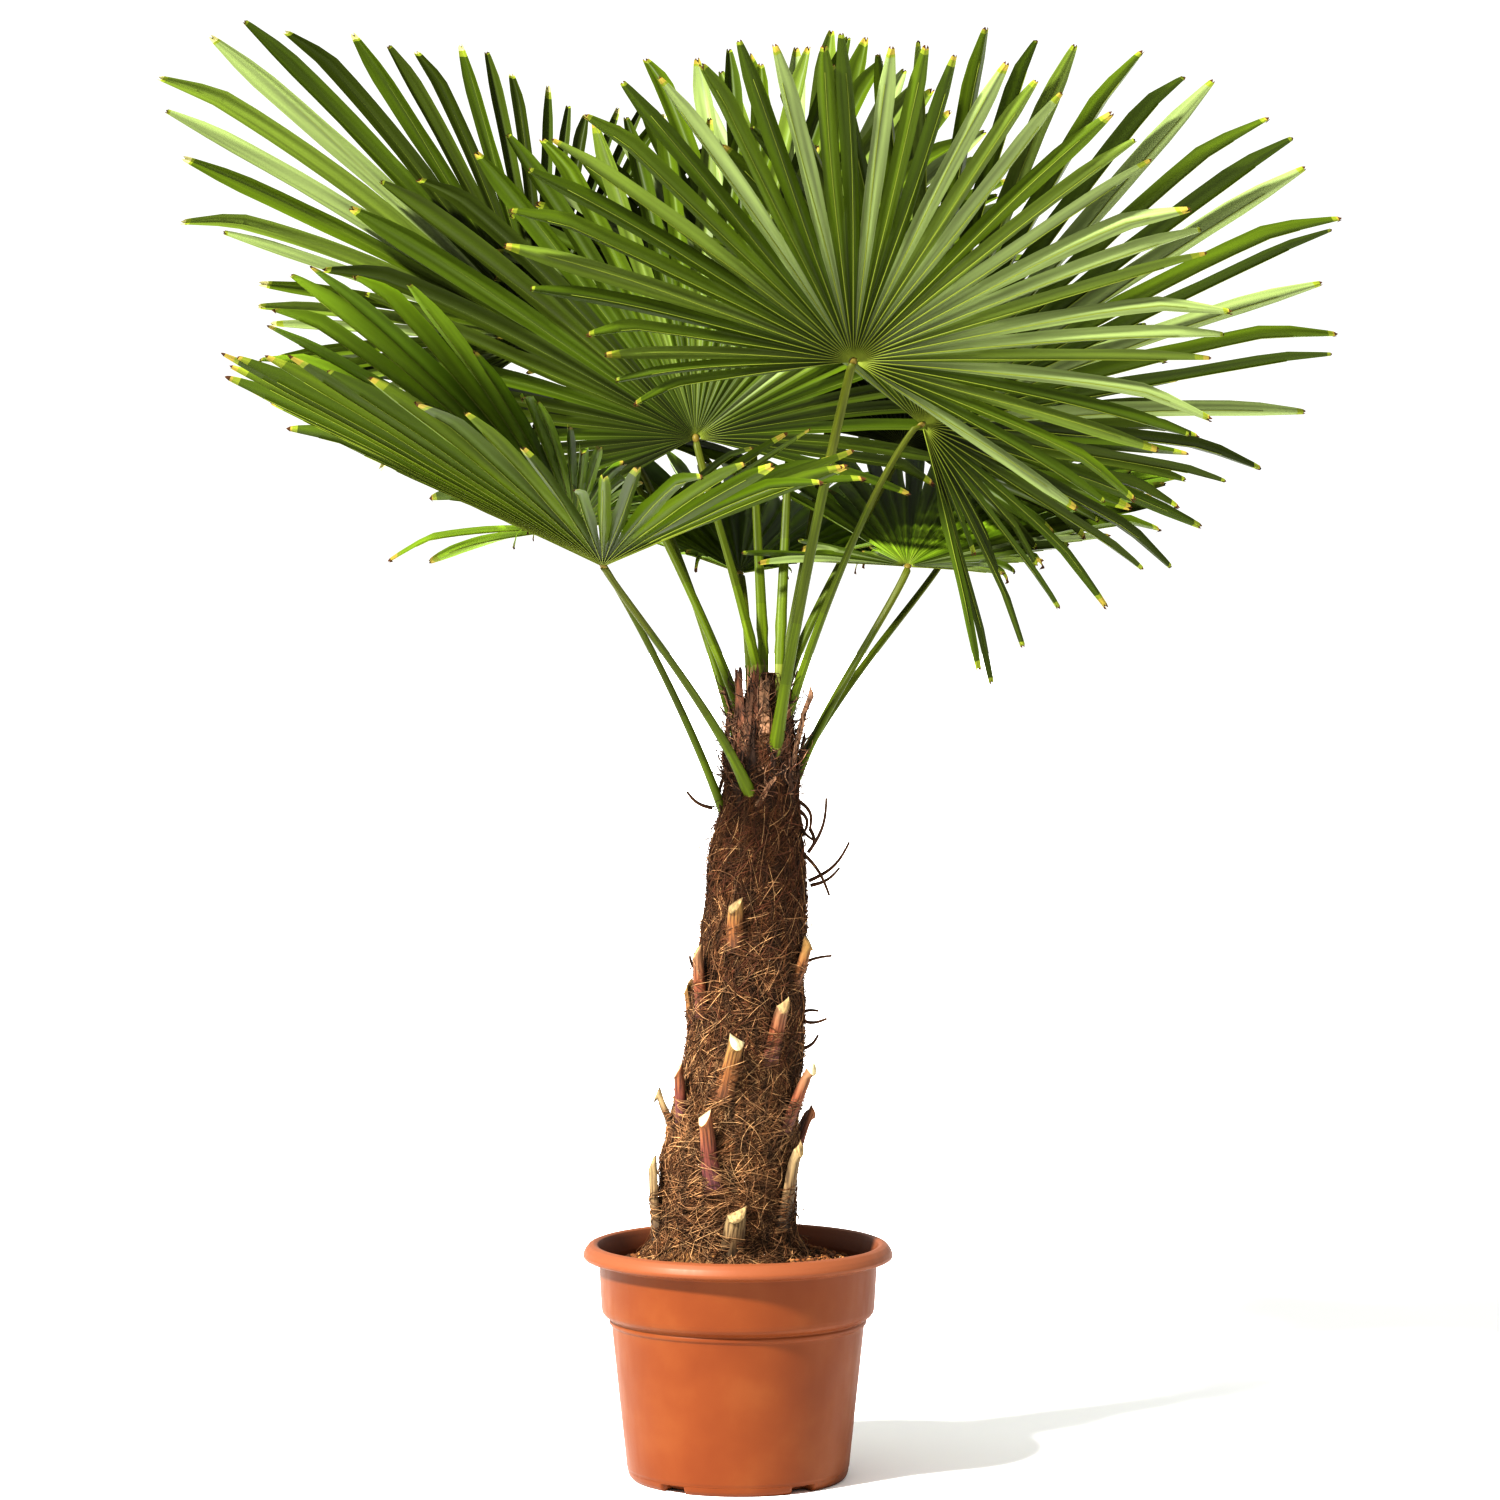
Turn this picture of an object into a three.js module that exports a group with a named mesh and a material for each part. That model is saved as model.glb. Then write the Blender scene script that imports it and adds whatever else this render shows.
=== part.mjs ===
/*
 * Potted windmill palm: a terracotta-coloured pot, a soil mound, a leaning fibrous trunk with cut leaf
 * bases and torn sheaths, and fourteen fan fronds on long stalks. Millimetres, +Z up, the pot stands on
 * z = 0 with its axis on x = y = 0, and the front of the plant looks towards -Y.
 */
import * as THREE from "three";

const TAU = Math.PI * 2;
const CLEAR = 0.3;

/* Small vector and number helpers. */
const add = (a, b) => [a[0] + b[0], a[1] + b[1], a[2] + b[2]];
const sub = (a, b) => [a[0] - b[0], a[1] - b[1], a[2] - b[2]];
const mul = (a, k) => [a[0] * k, a[1] * k, a[2] * k];
const dot = (a, b) => a[0] * b[0] + a[1] * b[1] + a[2] * b[2];
const cross = (a, b) => [a[1] * b[2] - a[2] * b[1], a[2] * b[0] - a[0] * b[2], a[0] * b[1] - a[1] * b[0]];
const size = (a) => Math.hypot(a[0], a[1], a[2]);
const unit = (a) => mul(a, 1 / size(a));
const mix = (a, b, t) => a + (b - a) * t;
const mixPoint = (a, b, t) => [mix(a[0], b[0], t), mix(a[1], b[1], t), mix(a[2], b[2], t)];
const rad = (degrees) => (degrees * Math.PI) / 180;

/** A repeatable number in 0..1 for three whole-number keys. */
function chance(a, b, c) {
  let h = (a * 73856093 + b * 19349663 + c * 83492791) % 2147483647;
  for (let k = 0; k < 3; k += 1) {
    h = (h * 16807 + 12345) % 2147483647;
  }
  return h / 2147483647;
}

/** Linear reading of a table of [key, value] rows. */
function read(table, key) {
  if (key <= table[0][0]) return table[0][1];
  for (let k = 1; k < table.length; k += 1) {
    if (key <= table[k][0]) {
      const t = (key - table[k - 1][0]) / (table[k][0] - table[k - 1][0]);
      return mix(table[k - 1][1], table[k][1], t);
    }
  }
  return table[table.length - 1][1];
}

/* Solids. */
class Solid {
  constructor() {
    this.points = [];
    this.faces = [];
  }

  point(p) {
    this.points.push(p);
    return this.points.length - 1;
  }

  tri(a, b, c) {
    this.faces.push([a, b, c]);
  }

  quad(a, b, c, d) {
    this.tri(a, b, c);
    this.tri(a, c, d);
  }

  /** Six times the signed volume, used to turn the faces outwards. */
  volume() {
    let sum = 0;
    for (const [a, b, c] of this.faces) {
      sum += dot(this.points[a], cross(this.points[b], this.points[c]));
    }
    return sum;
  }

  mesh(name, material) {
    const flip = this.volume() < 0;
    const geometry = new THREE.BufferGeometry();
    const index = this.faces.flatMap(([a, b, c]) => (flip ? [a, c, b] : [a, b, c]));
    geometry.setAttribute("position", new THREE.Float32BufferAttribute(this.points.flat(), 3));
    geometry.setIndex(index);
    geometry.computeVertexNormals();
    const mesh = new THREE.Mesh(geometry, material);
    mesh.name = name;
    return mesh;
  }
}

/** A closed skin through rings of points, each ring with the same count, ends closed flat. */
function loft(rings) {
  const solid = new Solid();
  const rows = rings.map((ring) => ring.map((p) => solid.point(p)));
  const count = rings[0].length;
  for (let r = 1; r < rows.length; r += 1) {
    for (let k = 0; k < count; k += 1) {
      const n = (k + 1) % count;
      solid.quad(rows[r - 1][k], rows[r - 1][n], rows[r][n], rows[r][k]);
    }
  }
  for (let k = 1; k < count - 1; k += 1) {
    solid.tri(rows[0][0], rows[0][k + 1], rows[0][k]);
    const last = rows[rows.length - 1];
    solid.tri(last[0], last[k], last[k + 1]);
  }
  return solid;
}

/** A closed ring of section (outline of [radius, height] rows) turned round the Z axis. */
function revolve(outline, count, shape) {
  const solid = new Solid();
  const rows = outline.map(([radius, height], row) => {
    if (radius === 0) return [solid.point([0, 0, height])];
    return Array.from({ length: count }, (_, k) => {
      const angle = (k / count) * TAU;
      const [r, z] = shape ? shape(radius, height, angle, row) : [radius, height];
      return solid.point([r * Math.cos(angle), r * Math.sin(angle), z]);
    });
  });
  for (let r = 1; r < rows.length; r += 1) {
    for (let k = 0; k < count; k += 1) {
      const n = (k + 1) % count;
      const low = rows[r - 1];
      const high = rows[r];
      if (low.length === 1) {
        solid.tri(low[0], high[n], high[k]);
      } else if (high.length === 1) {
        solid.tri(low[k], low[n], high[0]);
      } else {
        solid.quad(low[k], low[n], high[n], high[k]);
      }
    }
  }
  return solid;
}

/* Materials. */
const finish = (name, color, roughness) => {
  const material = new THREE.MeshStandardMaterial({ color, roughness, metalness: 0 });
  material.name = name;
  return material;
};
const POT_FINISH = finish("pot_plastic", 0xc8693f, 0.5);
const SOIL_FINISH = finish("soil", 0x7a5230, 0.95);
const TRUNK_FINISH = finish("trunk_fibre", 0x6a4a2c, 0.9);
const BASE_FINISH = finish("leaf_base", 0xa5673a, 0.8);
const SHEATH_FINISH = finish("sheath", 0x8a5a3c, 0.85);
const STALK_FINISH = finish("stalk", 0x6b7f1d, 0.5);
const LEAF_FINISH = finish("leaf", 0x54801f, 0.45);

/* Pot. */
const POT_SIDES = 60;
const RIM_TOP = 257;
const RIM_R = 170.5;
const MOUTH_R = 154;
const FOOT_R = 121;
const WALL = 4;
const FLOOR = 6;
const NOTCH_COUNT = 5;
const NOTCH_TURN = -Math.PI / 2 - Math.PI / NOTCH_COUNT;
const NOTCH_HALF = rad(6.1);
const NOTCH_HIGH = 7;
const POT_OUTLINE = [
  [0, 0], [101, 0], [117, 0], [FOOT_R - 0.6, 4], [FOOT_R + 0.6, 9], [FOOT_R + 1.4, 13],
  [137.2, 151], [138.8, 154], [138.2, 158], [140.6, 161], [140.2, 165], [147, 172], [150, 181],
  [153, 236], [156, 239], [165, 240.5], [RIM_R - 1, 243.5], [RIM_R, 248], [RIM_R - 1.6, 253],
  [165, 256.2], [159, RIM_TOP], [MOUTH_R + 0.6, 255.6], [MOUTH_R - 1, 251], [149, 236],
  [146, 183], [134.6, 166], [133.4, 151], [FOOT_R + 1.4 - WALL, 13], [113, FLOOR], [0, FLOOR],
];
const INNER = [[FLOOR, 113], [13, FOOT_R + 1.4 - WALL], [151, 133.4], [166, 134.6], [183, 146], [236, 149]];

/** True where one of the drain notches cuts the foot's edge. */
function inNotch(angle) {
  const step = TAU / NOTCH_COUNT;
  const off = (((angle - NOTCH_TURN) % step) + step) % step;
  return Math.min(off, step - off) < NOTCH_HALF;
}

function makePot() {
  return revolve(POT_OUTLINE, POT_SIDES, (radius, height, angle, row) => {
    if (!inNotch(angle) || row < 2 || row > 4) return [radius, height];
    if (row === 2) return [108, 0];
    return row === 3 ? [110, NOTCH_HIGH] : [FOOT_R + 0.2, NOTCH_HIGH + 1];
  });
}

/* Trunk. */
const TRUNK_SIDES = 20;
const TRUNK_FOOT = 246;
const TRUNK_TIP = 905;
const TRUNK_X = [
  [246, -16], [300, -12.5], [350, -10], [400, -3], [450, 4], [500, 9], [550, 13], [600, 17], [650, 20],
  [700, 22], [745, 25], [790, 27], [840, 29], [905, 31],
];
const TRUNK_R = [
  [246, 76], [300, 73], [350, 72], [400, 67], [450, 63.5], [500, 60], [550, 57], [600, 55], [650, 52],
  [700, 48.5], [745, 43.5], [790, 39], [840, 33], [880, 28], [905, 25],
];
const SEAT = 0.33;
const trunkX = (z) => read(TRUNK_X, z);
const trunkR = (z) => read(TRUNK_R, z);

function makeTrunk() {
  return loft(TRUNK_R.map(([z]) => Array.from({ length: TRUNK_SIDES }, (_, k) => {
    const angle = (k / TRUNK_SIDES) * TAU;
    return [trunkX(z) + trunkR(z) * Math.cos(angle), trunkR(z) * Math.sin(angle), z];
  })));
}

/** How far a point stands off the faceted trunk. */
function offTrunk(p) {
  const x = p[0] - trunkX(p[2]);
  const step = TAU / TRUNK_SIDES;
  const off = (((Math.atan2(p[1], x) % step) + step) % step) - step / 2;
  return Math.hypot(x, p[1]) - (trunkR(p[2]) * Math.cos(step / 2)) / Math.cos(off);
}

/** The slide along a direction that seats a patch of points against the trunk. */
function seatSlide(points, outward) {
  let slide = 0;
  for (let turn = 0; turn < 8; turn += 1) {
    slide += SEAT - Math.min(...points.map((p) => offTrunk(add(p, mul(outward, slide)))));
  }
  return slide;
}

/* Soil. */
const SOIL_SIDES = 40;
const SOIL_EDGE_Z = 228;
const SOIL_HIGH = TRUNK_FOOT - CLEAR;
const MOUND_R = 96;
const MOUND_RINGS = [138, 127, 116, 106];
const WALL_R = 149;
const CRUMB_HIGH = 5;

/** The mound is flat under the trunk and falls to the wall, with crumbs between. */
function makeSoil() {
  const bed = INNER.map(([z, r]) => [r - CLEAR - 0.2, z + CLEAR]).filter(([, z]) => z < SOIL_EDGE_Z);
  const outline = [[0, FLOOR + CLEAR], ...bed, [read(INNER, SOIL_EDGE_Z) - 0.8, SOIL_EDGE_Z]];
  const first = outline.length;
  for (const r of MOUND_RINGS) {
    const rise = (WALL_R - r) / (WALL_R - MOUND_R);
    outline.push([r, mix(SOIL_EDGE_Z, SOIL_HIGH, rise)]);
  }
  outline.push([MOUND_R, SOIL_HIGH], [0, SOIL_HIGH]);
  return revolve(outline, SOIL_SIDES, (radius, height, angle, row) => {
    if (row < first || radius <= MOUND_R) return [radius, height];
    const crumb = chance(row, Math.round((angle / TAU) * SOIL_SIDES), 11);
    return [radius, height - CRUMB_HIGH * crumb];
  });
}

/* Cut leaf bases and torn sheaths. */
/* Rows: name, side in degrees, foot and tip height, width at foot and tip, thickness, lean out, aside. */
const BASES = [
  ["base_1", -106, 424, 490, 27, 17, 12, 15, 14], ["base_2", -150, 398, 455, 20, 12, 9, 12, 2],
  ["base_3", -174, 388, 424, 16, 8, 8, 18, -6], ["base_4", -101, 326, 408, 26, 14, 11, 13, -18],
  ["base_5", -168, 262, 352, 24, 15, 9, 8, 1], ["base_6", -84, 249, 304, 30, 21, 13, 12, 2],
  ["base_7", -36, 386, 458, 24, 12, 10, 13, 12], ["base_8", -33, 282, 370, 26, 14, 9, 9, 3],
  ["base_9", -62, 462, 528, 22, 15, 9, 10, 4], ["base_10", -112, 588, 636, 22, 17, 10, 9, 3],
  ["base_11", -146, 512, 584, 22, 13, 9, 9, -3], ["base_12", -30, 544, 592, 20, 13, 9, 9, 4],
  ["base_13", 24, 330, 402, 26, 14, 10, 13, -6], ["base_14", 76, 452, 520, 24, 13, 10, 12, 8],
  ["base_15", 128, 318, 394, 27, 15, 11, 14, -8], ["base_16", 150, 476, 540, 22, 12, 9, 11, 5],
];
const SHEATHS = [
  ["sheath_1", -136, 806, 880, 18, 6, 3.2, 6, -4], ["sheath_2", -101, 818, 908, 15, 5, 3, 7, 4],
  ["sheath_3", -28, 776, 848, 18, 5, 3.2, 9, 7],
];
const TONGUE_STEPS = 4;
const PATCH = Array.from({ length: 25 }, (_, k) => k / 24);

/** A flattened tongue that stands against the trunk, its foot hugging it, its tip cut across. */
function makeTongue([, side, footZ, tipZ, footW, tipW, thick, out, aside]) {
  const turn = rad(side);
  const across = [-Math.sin(turn), Math.cos(turn), 0];
  const outward = [Math.cos(turn), Math.sin(turn), 0];
  const rings = [];
  for (let k = 0; k <= TONGUE_STEPS; k += 1) {
    const t = k / TONGUE_STEPS;
    const z = mix(footZ, tipZ, t);
    const width = mix(footW, tipW, t ** 0.7) / 2;
    const deep = thick * mix(0.75, 1, Math.min(1, 2 * t)) * (1 - 0.15 * t);
    const stand = trunkR(footZ) + out * t ** 1.4;
    const middle = add([trunkX(z), 0, z], add(mul(outward, stand), mul(across, aside * t)));
    const slant = (level) => [0, 0, k === TONGUE_STEPS ? level * 4 : 0];
    rings.push([
      add(middle, add(mul(across, -width), slant(0))),
      add(middle, add(mul(across, -width * 0.8), add(mul(outward, deep * 0.72), slant(-0.6)))),
      add(middle, add(mul(outward, deep), slant(-1))),
      add(middle, add(mul(across, width * 0.8), add(mul(outward, deep * 0.72), slant(-0.6)))),
      add(middle, add(mul(across, width), slant(0))),
    ]);
  }
  const inner = rings.slice(1).flatMap((ring, k) => PATCH.flatMap((u) => PATCH.map((v) =>
    mixPoint(mixPoint(rings[k][0], rings[k][4], u), mixPoint(ring[0], ring[4], u), v))));
  const slide = seatSlide(inner, outward);
  return loft(rings.map((ring) => ring.map((p) => add(p, mul(outward, slide)))));
}

/* Fronds. */
const LEAF_THICK = 4.8;
const EDGE_THICK = 3.6;
const PLEAT = 0.34;
const SPLIT = 0.45;
const SPLIT_SPREAD = 0.12;
const HUB_BACK = 9;
const HUB_HALF = 5.4;
const HUB_THICK = 6;
const SHORTEST = 34;
const TIP_HALF = 3.3;
const MIDDLE_AT = 0.56;
const MIDDLE_WIDE = 1.22;

/** A length table for a frond that is full all round: radius in the middle, shorter to both sides. */
function evenTable(radius, spread = 118, loss = 0.38) {
  return Array.from({ length: 9 }, (_, k) => {
    const turn = -spread + (spread * k) / 4;
    return [turn, radius * (1 - loss * (turn / spread) ** 2)];
  });
}

/*
 * Each frond: hub, the way its middle rib points, the side its upper face looks to, lift of the halves
 * (degrees), droop, leaflet count, length table (degrees from the middle, mm), and its stalk's foot as
 * [side in degrees, height] on the trunk or as [x, y] on the trunk's flat tip.
 */
const FRONDS = [
  { name: "frond_1", hub: [122, -190, 1217], axis: [0.27, -0.45, 0.85], up: [0, 0.83, 0.55],
    lift: [0, 0], droop: 0.03, count: 38, foot: { side: -67, z: 812 }, stout: true,
    lengths: [[-115, 225], [-105, 262], [-93, 295], [-85, 411], [-65, 437], [-46, 416], [-20, 399],
      [4, 384], [33, 405], [62, 411], [75, 394], [83, 384], [102, 323], [112, 304]] },
  { name: "frond_2", hub: [200, -60, 1154], axis: [0.89, 0.1, 0.45], up: [-0.39, 0.69, 0.61],
    lift: [45, -75], droop: 0.04, count: 38, foot: { side: -22, z: 852 },
    lengths: [[-122, 300], [-100, 420], [-71, 495], [-48, 515], [-29, 532], [-5, 541], [8, 512], [19, 515],
      [27, 458], [33, 416], [49, 352], [62, 315], [68, 180], [74.5, 278], [81, 170], [87, 262], [93.5, 150],
      [100, 150], [106, 268], [116, 262]] },
  { name: "frond_5", hub: [-142, -230, 1000], axis: [-0.25, -0.87, 0.42], up: [0.36, 0.32, 0.88],
    lift: [25, 91], droop: 0.03, count: 34, foot: { side: -112, z: 760 },
    lengths: [[-125, 240], [-104, 430], [-79, 473], [-48, 463], [-30, 440], [-6, 400], [0, 330], [10, 270],
      [19, 297], [33, 363], [60, 340], [92, 290], [109, 279], [122, 230]] },
  { name: "frond_3", hub: [-220, 175, 1259], axis: [-0.8, 0, 0.6], up: [0.05, -0.97, 0.25],
    lift: [0, 0], droop: 0.04, count: 36, foot: { side: 152, z: 848 },
    lengths: [[-112, 260], [-80, 340], [-60, 300], [-50, 345], [-41, 389], [-35, 401], [-26, 427],
      [-17, 508], [-8, 560], [-2, 566], [4, 524], [12, 466], [24, 346], [48, 290], [72, 220]] },
  { name: "frond_4", hub: [-47, 60, 1144], axis: [-0.15, 0.3, 0.94], up: [0, -0.95, 0.3], lift: [0, 0],
    droop: 0.05, count: 38, foot: { x: -14, y: -5 },
    lengths: [[-114, 250], [-80, 330], [-40, 410], [-10, 430], [15, 450], [30, 480], [43, 526], [49, 505],
      [56, 430], [68, 330], [90, 260], [112, 200]] },
  { name: "frond_8", hub: [-177, -60, 1040], axis: [-0.8, -0.2, 0.55], up: [0.3, 0.5, 0.8], lift: [0, 0],
    droop: 0.1, count: 30, foot: { side: 190, z: 742 },
    lengths: [[-64, 150], [-58, 311], [-51, 175], [-44, 367], [-36, 200], [-22, 330], [-10, 410], [4, 441],
      [27, 520], [36, 490], [45, 330], [60, 235], [80, 205], [110, 170]] },
  { name: "frond_6", hub: [189, 60, 1001], axis: [0.1, 0.85, 0.5], up: [0, -0.5, 0.85], lift: [20, 20],
    droop: 0.05, count: 36, foot: { side: 16, z: 772 },
    lengths: [[-115, 180], [-101, 216], [-76, 289], [-52, 352], [0, 400], [40, 350], [65, 256], [90, 220],
      [112, 180]] },
  { name: "frond_9", hub: [8, 130, 1268], axis: [-0.1, 0.34, 0.94], up: [0, -0.94, 0.34], lift: [0, 0],
    droop: 0.04, count: 36, foot: { x: -3, y: 14 },
    lengths: [[-118, 220], [-90, 290], [-60, 360], [-23, 425], [-10, 378], [7, 384], [13, 425], [23, 365],
      [50, 330], [85, 280], [118, 215]] },
  { name: "frond_13", hub: [71, 190, 1305], axis: [0.15, 0.45, 0.88], up: [0, -0.88, 0.47], lift: [0, 0],
    droop: 0.04, count: 34, foot: { x: 15, y: 4 },
    lengths: [[-118, 200], [-79, 275], [-30, 340], [-12, 362], [2, 412], [12, 372], [30, 350], [70, 290],
      [118, 200]] },
  { name: "frond_12", hub: [-144, 200, 1157], axis: [-0.78, 0.55, 0.32], up: [0.3, -0.15, 0.94],
    lift: [0, 0], droop: 0.08, count: 34, foot: { side: 130, z: 800 }, lengths: evenTable(420) },
  { name: "frond_10", hub: [236, 286, 1005], axis: [0.3, 0.85, 0.43], up: [-0.25, -0.37, 0.9],
    lift: [34, 31], droop: 0.08, count: 34, foot: { side: 52, z: 752 }, lengths: evenTable(352) },
  { name: "frond_14", hub: [188, 154, 1138], axis: [0.37, 0.6, 0.7], up: [0.07, -0.87, 0.71],
    lift: [14, 27], droop: 0.05, count: 34, foot: { side: 40, z: 872 }, lengths: evenTable(386) },
  { name: "frond_7", hub: [2, 190, 994], axis: [-0.2, 0.87, 0.45], up: [0.15, -0.45, 0.88], lift: [35, 40],
    droop: 0.06, count: 34, foot: { side: 106, z: 806 }, lengths: evenTable(400) },
  { name: "frond_11", hub: [106, 279, 1171], axis: [0.12, 0.44, 0.89], up: [0.15, -0.96, 0.46],
    lift: [40, 32], droop: 0.06, count: 34, foot: { side: 78, z: 776 }, lengths: evenTable(378) },
];

/** Works out a frond's own directions once. */
function ready(frond, number) {
  const axis = unit(frond.axis);
  const up = unit(sub(frond.up, mul(axis, dot(frond.up, axis))));
  const low = frond.lengths[0][0];
  const high = frond.lengths[frond.lengths.length - 1][0];
  const turnAt = (edge) => rad(mix(low, high, edge / frond.count));
  const half = rad(high - low) / frond.count / 2;
  return { ...frond, number, axis, up, side: cross(up, axis), turnAt, half };
}

/** The place, the surface's upward direction and the direction across it at a turn and a radius. */
function onFrond(frond, turn, radius, length) {
  const lift = rad(turn < 0 ? frond.lift[0] : frond.lift[1]) * Math.sin(Math.abs(turn) / 2) ** 2;
  const flat = add(mul(frond.axis, Math.cos(turn)), mul(frond.side, Math.sin(turn)));
  const along = add(mul(flat, Math.cos(lift)), mul(frond.up, Math.sin(lift)));
  const normal = sub(mul(frond.up, Math.cos(lift)), mul(flat, Math.sin(lift)));
  const across = add(mul(frond.axis, -Math.sin(turn)), mul(frond.side, Math.cos(turn)));
  const sag = frond.droop * length * (radius / length) ** 2.5;
  return { place: add(frond.hub, add(mul(along, radius), [0, 0, -sag])), normal, across };
}

/** A leaflet's length before it makes room for others. */
function fullLength(frond, leaflet) {
  const turn = (frond.turnAt(leaflet + 0.5) * 180) / Math.PI;
  return read(frond.lengths, turn) * (1 - 0.05 * chance(frond.number, leaflet, 1));
}

/** Where the leaflets on both sides of an edge part, as a radius. */
function splitAt(frond, reach, edge) {
  const left = reach[Math.max(0, edge - 1)];
  const right = reach[Math.min(frond.count - 1, edge)];
  const nominal = fullLength(frond, Math.min(frond.count - 1, edge)) *
    (SPLIT + SPLIT_SPREAD * (chance(frond.number, edge, 2) - 0.5));
  return Math.max(16, Math.min(nominal, 0.72 * left, 0.72 * right));
}

/** Half the width of a leaflet: it widens past the split, then narrows to its blunt tip. */
function halfWidth(frond, radius, length) {
  const bound = Math.min(radius, length * SPLIT) * Math.sin(frond.half);
  const free = Math.max(0, (radius - length * SPLIT) / (length * (1 - SPLIT)));
  if (free < MIDDLE_AT) return Math.max(TIP_HALF, bound * mix(1, MIDDLE_WIDE, free / MIDDLE_AT));
  const rest = (free - MIDDLE_AT) / (1 - MIDDLE_AT);
  return Math.max(TIP_HALF, mix(bound * MIDDLE_WIDE, TIP_HALF, rest));
}

/* Keeping leaflets apart. */
const CELL = 12;
const SAMPLE = 3.2;
const SHEET_REACH = LEAF_THICK / 2 + 2.1;

class Space {
  constructor() {
    this.cells = new Map();
  }

  key(i, j, k) {
    return (i + 400) * 1000000 + (j + 400) * 1000 + (k + 400);
  }

  put(p, reach, owner) {
    const key = this.key(...p.map((v) => Math.floor(v / CELL)));
    if (!this.cells.has(key)) {
      this.cells.set(key, []);
    }
    this.cells.get(key).push([p[0], p[1], p[2], reach, owner]);
  }

  hit(p, reach, owner) {
    const [ci, cj, ck] = p.map((v) => Math.floor(v / CELL));
    for (let i = ci - 1; i <= ci + 1; i += 1) {
      for (let j = cj - 1; j <= cj + 1; j += 1) {
        for (let k = ck - 1; k <= ck + 1; k += 1) {
          for (const [x, y, z, r, who] of this.cells.get(this.key(i, j, k)) ?? []) {
            const near = reach + r + CLEAR;
            const apart = (x - p[0]) ** 2 + (y - p[1]) ** 2 + (z - p[2]) ** 2;
            if (who !== owner && apart < near * near) {
              return true;
            }
          }
        }
      }
    }
    return false;
  }
}

const hitsTrunk = (p) => p[2] < TRUNK_TIP + 6 && Math.hypot(p[0] - trunkX(p[2]), p[1]) < trunkR(p[2]) + 6;

/** Sample points over one leaflet's middle surface between two radii. */
function* samples(frond, leaflet, from, to, length) {
  const turn = frond.turnAt(leaflet + 0.5);
  for (let radius = from; radius <= to; radius += SAMPLE) {
    const wide = halfWidth(frond, radius, length);
    const spot = onFrond(frond, turn, radius, length);
    const parts = Math.max(1, Math.ceil(wide / SAMPLE));
    for (let k = -parts; k <= parts; k += 1) {
      const w = (wide * k) / parts;
      const rise = PLEAT * wide * (2 * Math.abs(k / parts) - 1);
      yield { radius, point: add(spot.place, add(mul(spot.across, w), mul(spot.normal, rise))) };
    }
  }
}

/** How far each leaflet may reach before it would touch what stands already. */
function reaches(frond, space) {
  const reach = [];
  for (let leaflet = 0; leaflet < frond.count; leaflet += 1) {
    const length = fullLength(frond, leaflet);
    let allowed = length;
    for (const { radius, point } of samples(frond, leaflet, 24, length, length)) {
      if (space.hit(point, SHEET_REACH, frond.name) || hitsTrunk(point)) {
        allowed = radius - 8;
        break;
      }
    }
    reach.push(Math.max(SHORTEST, allowed));
  }
  for (let leaflet = 0; leaflet < frond.count; leaflet += 1) {
    const length = fullLength(frond, leaflet);
    for (const { point } of samples(frond, leaflet, 12, reach[leaflet], length)) {
      space.put(point, SHEET_REACH, frond.name);
    }
  }
  return reach;
}

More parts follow.
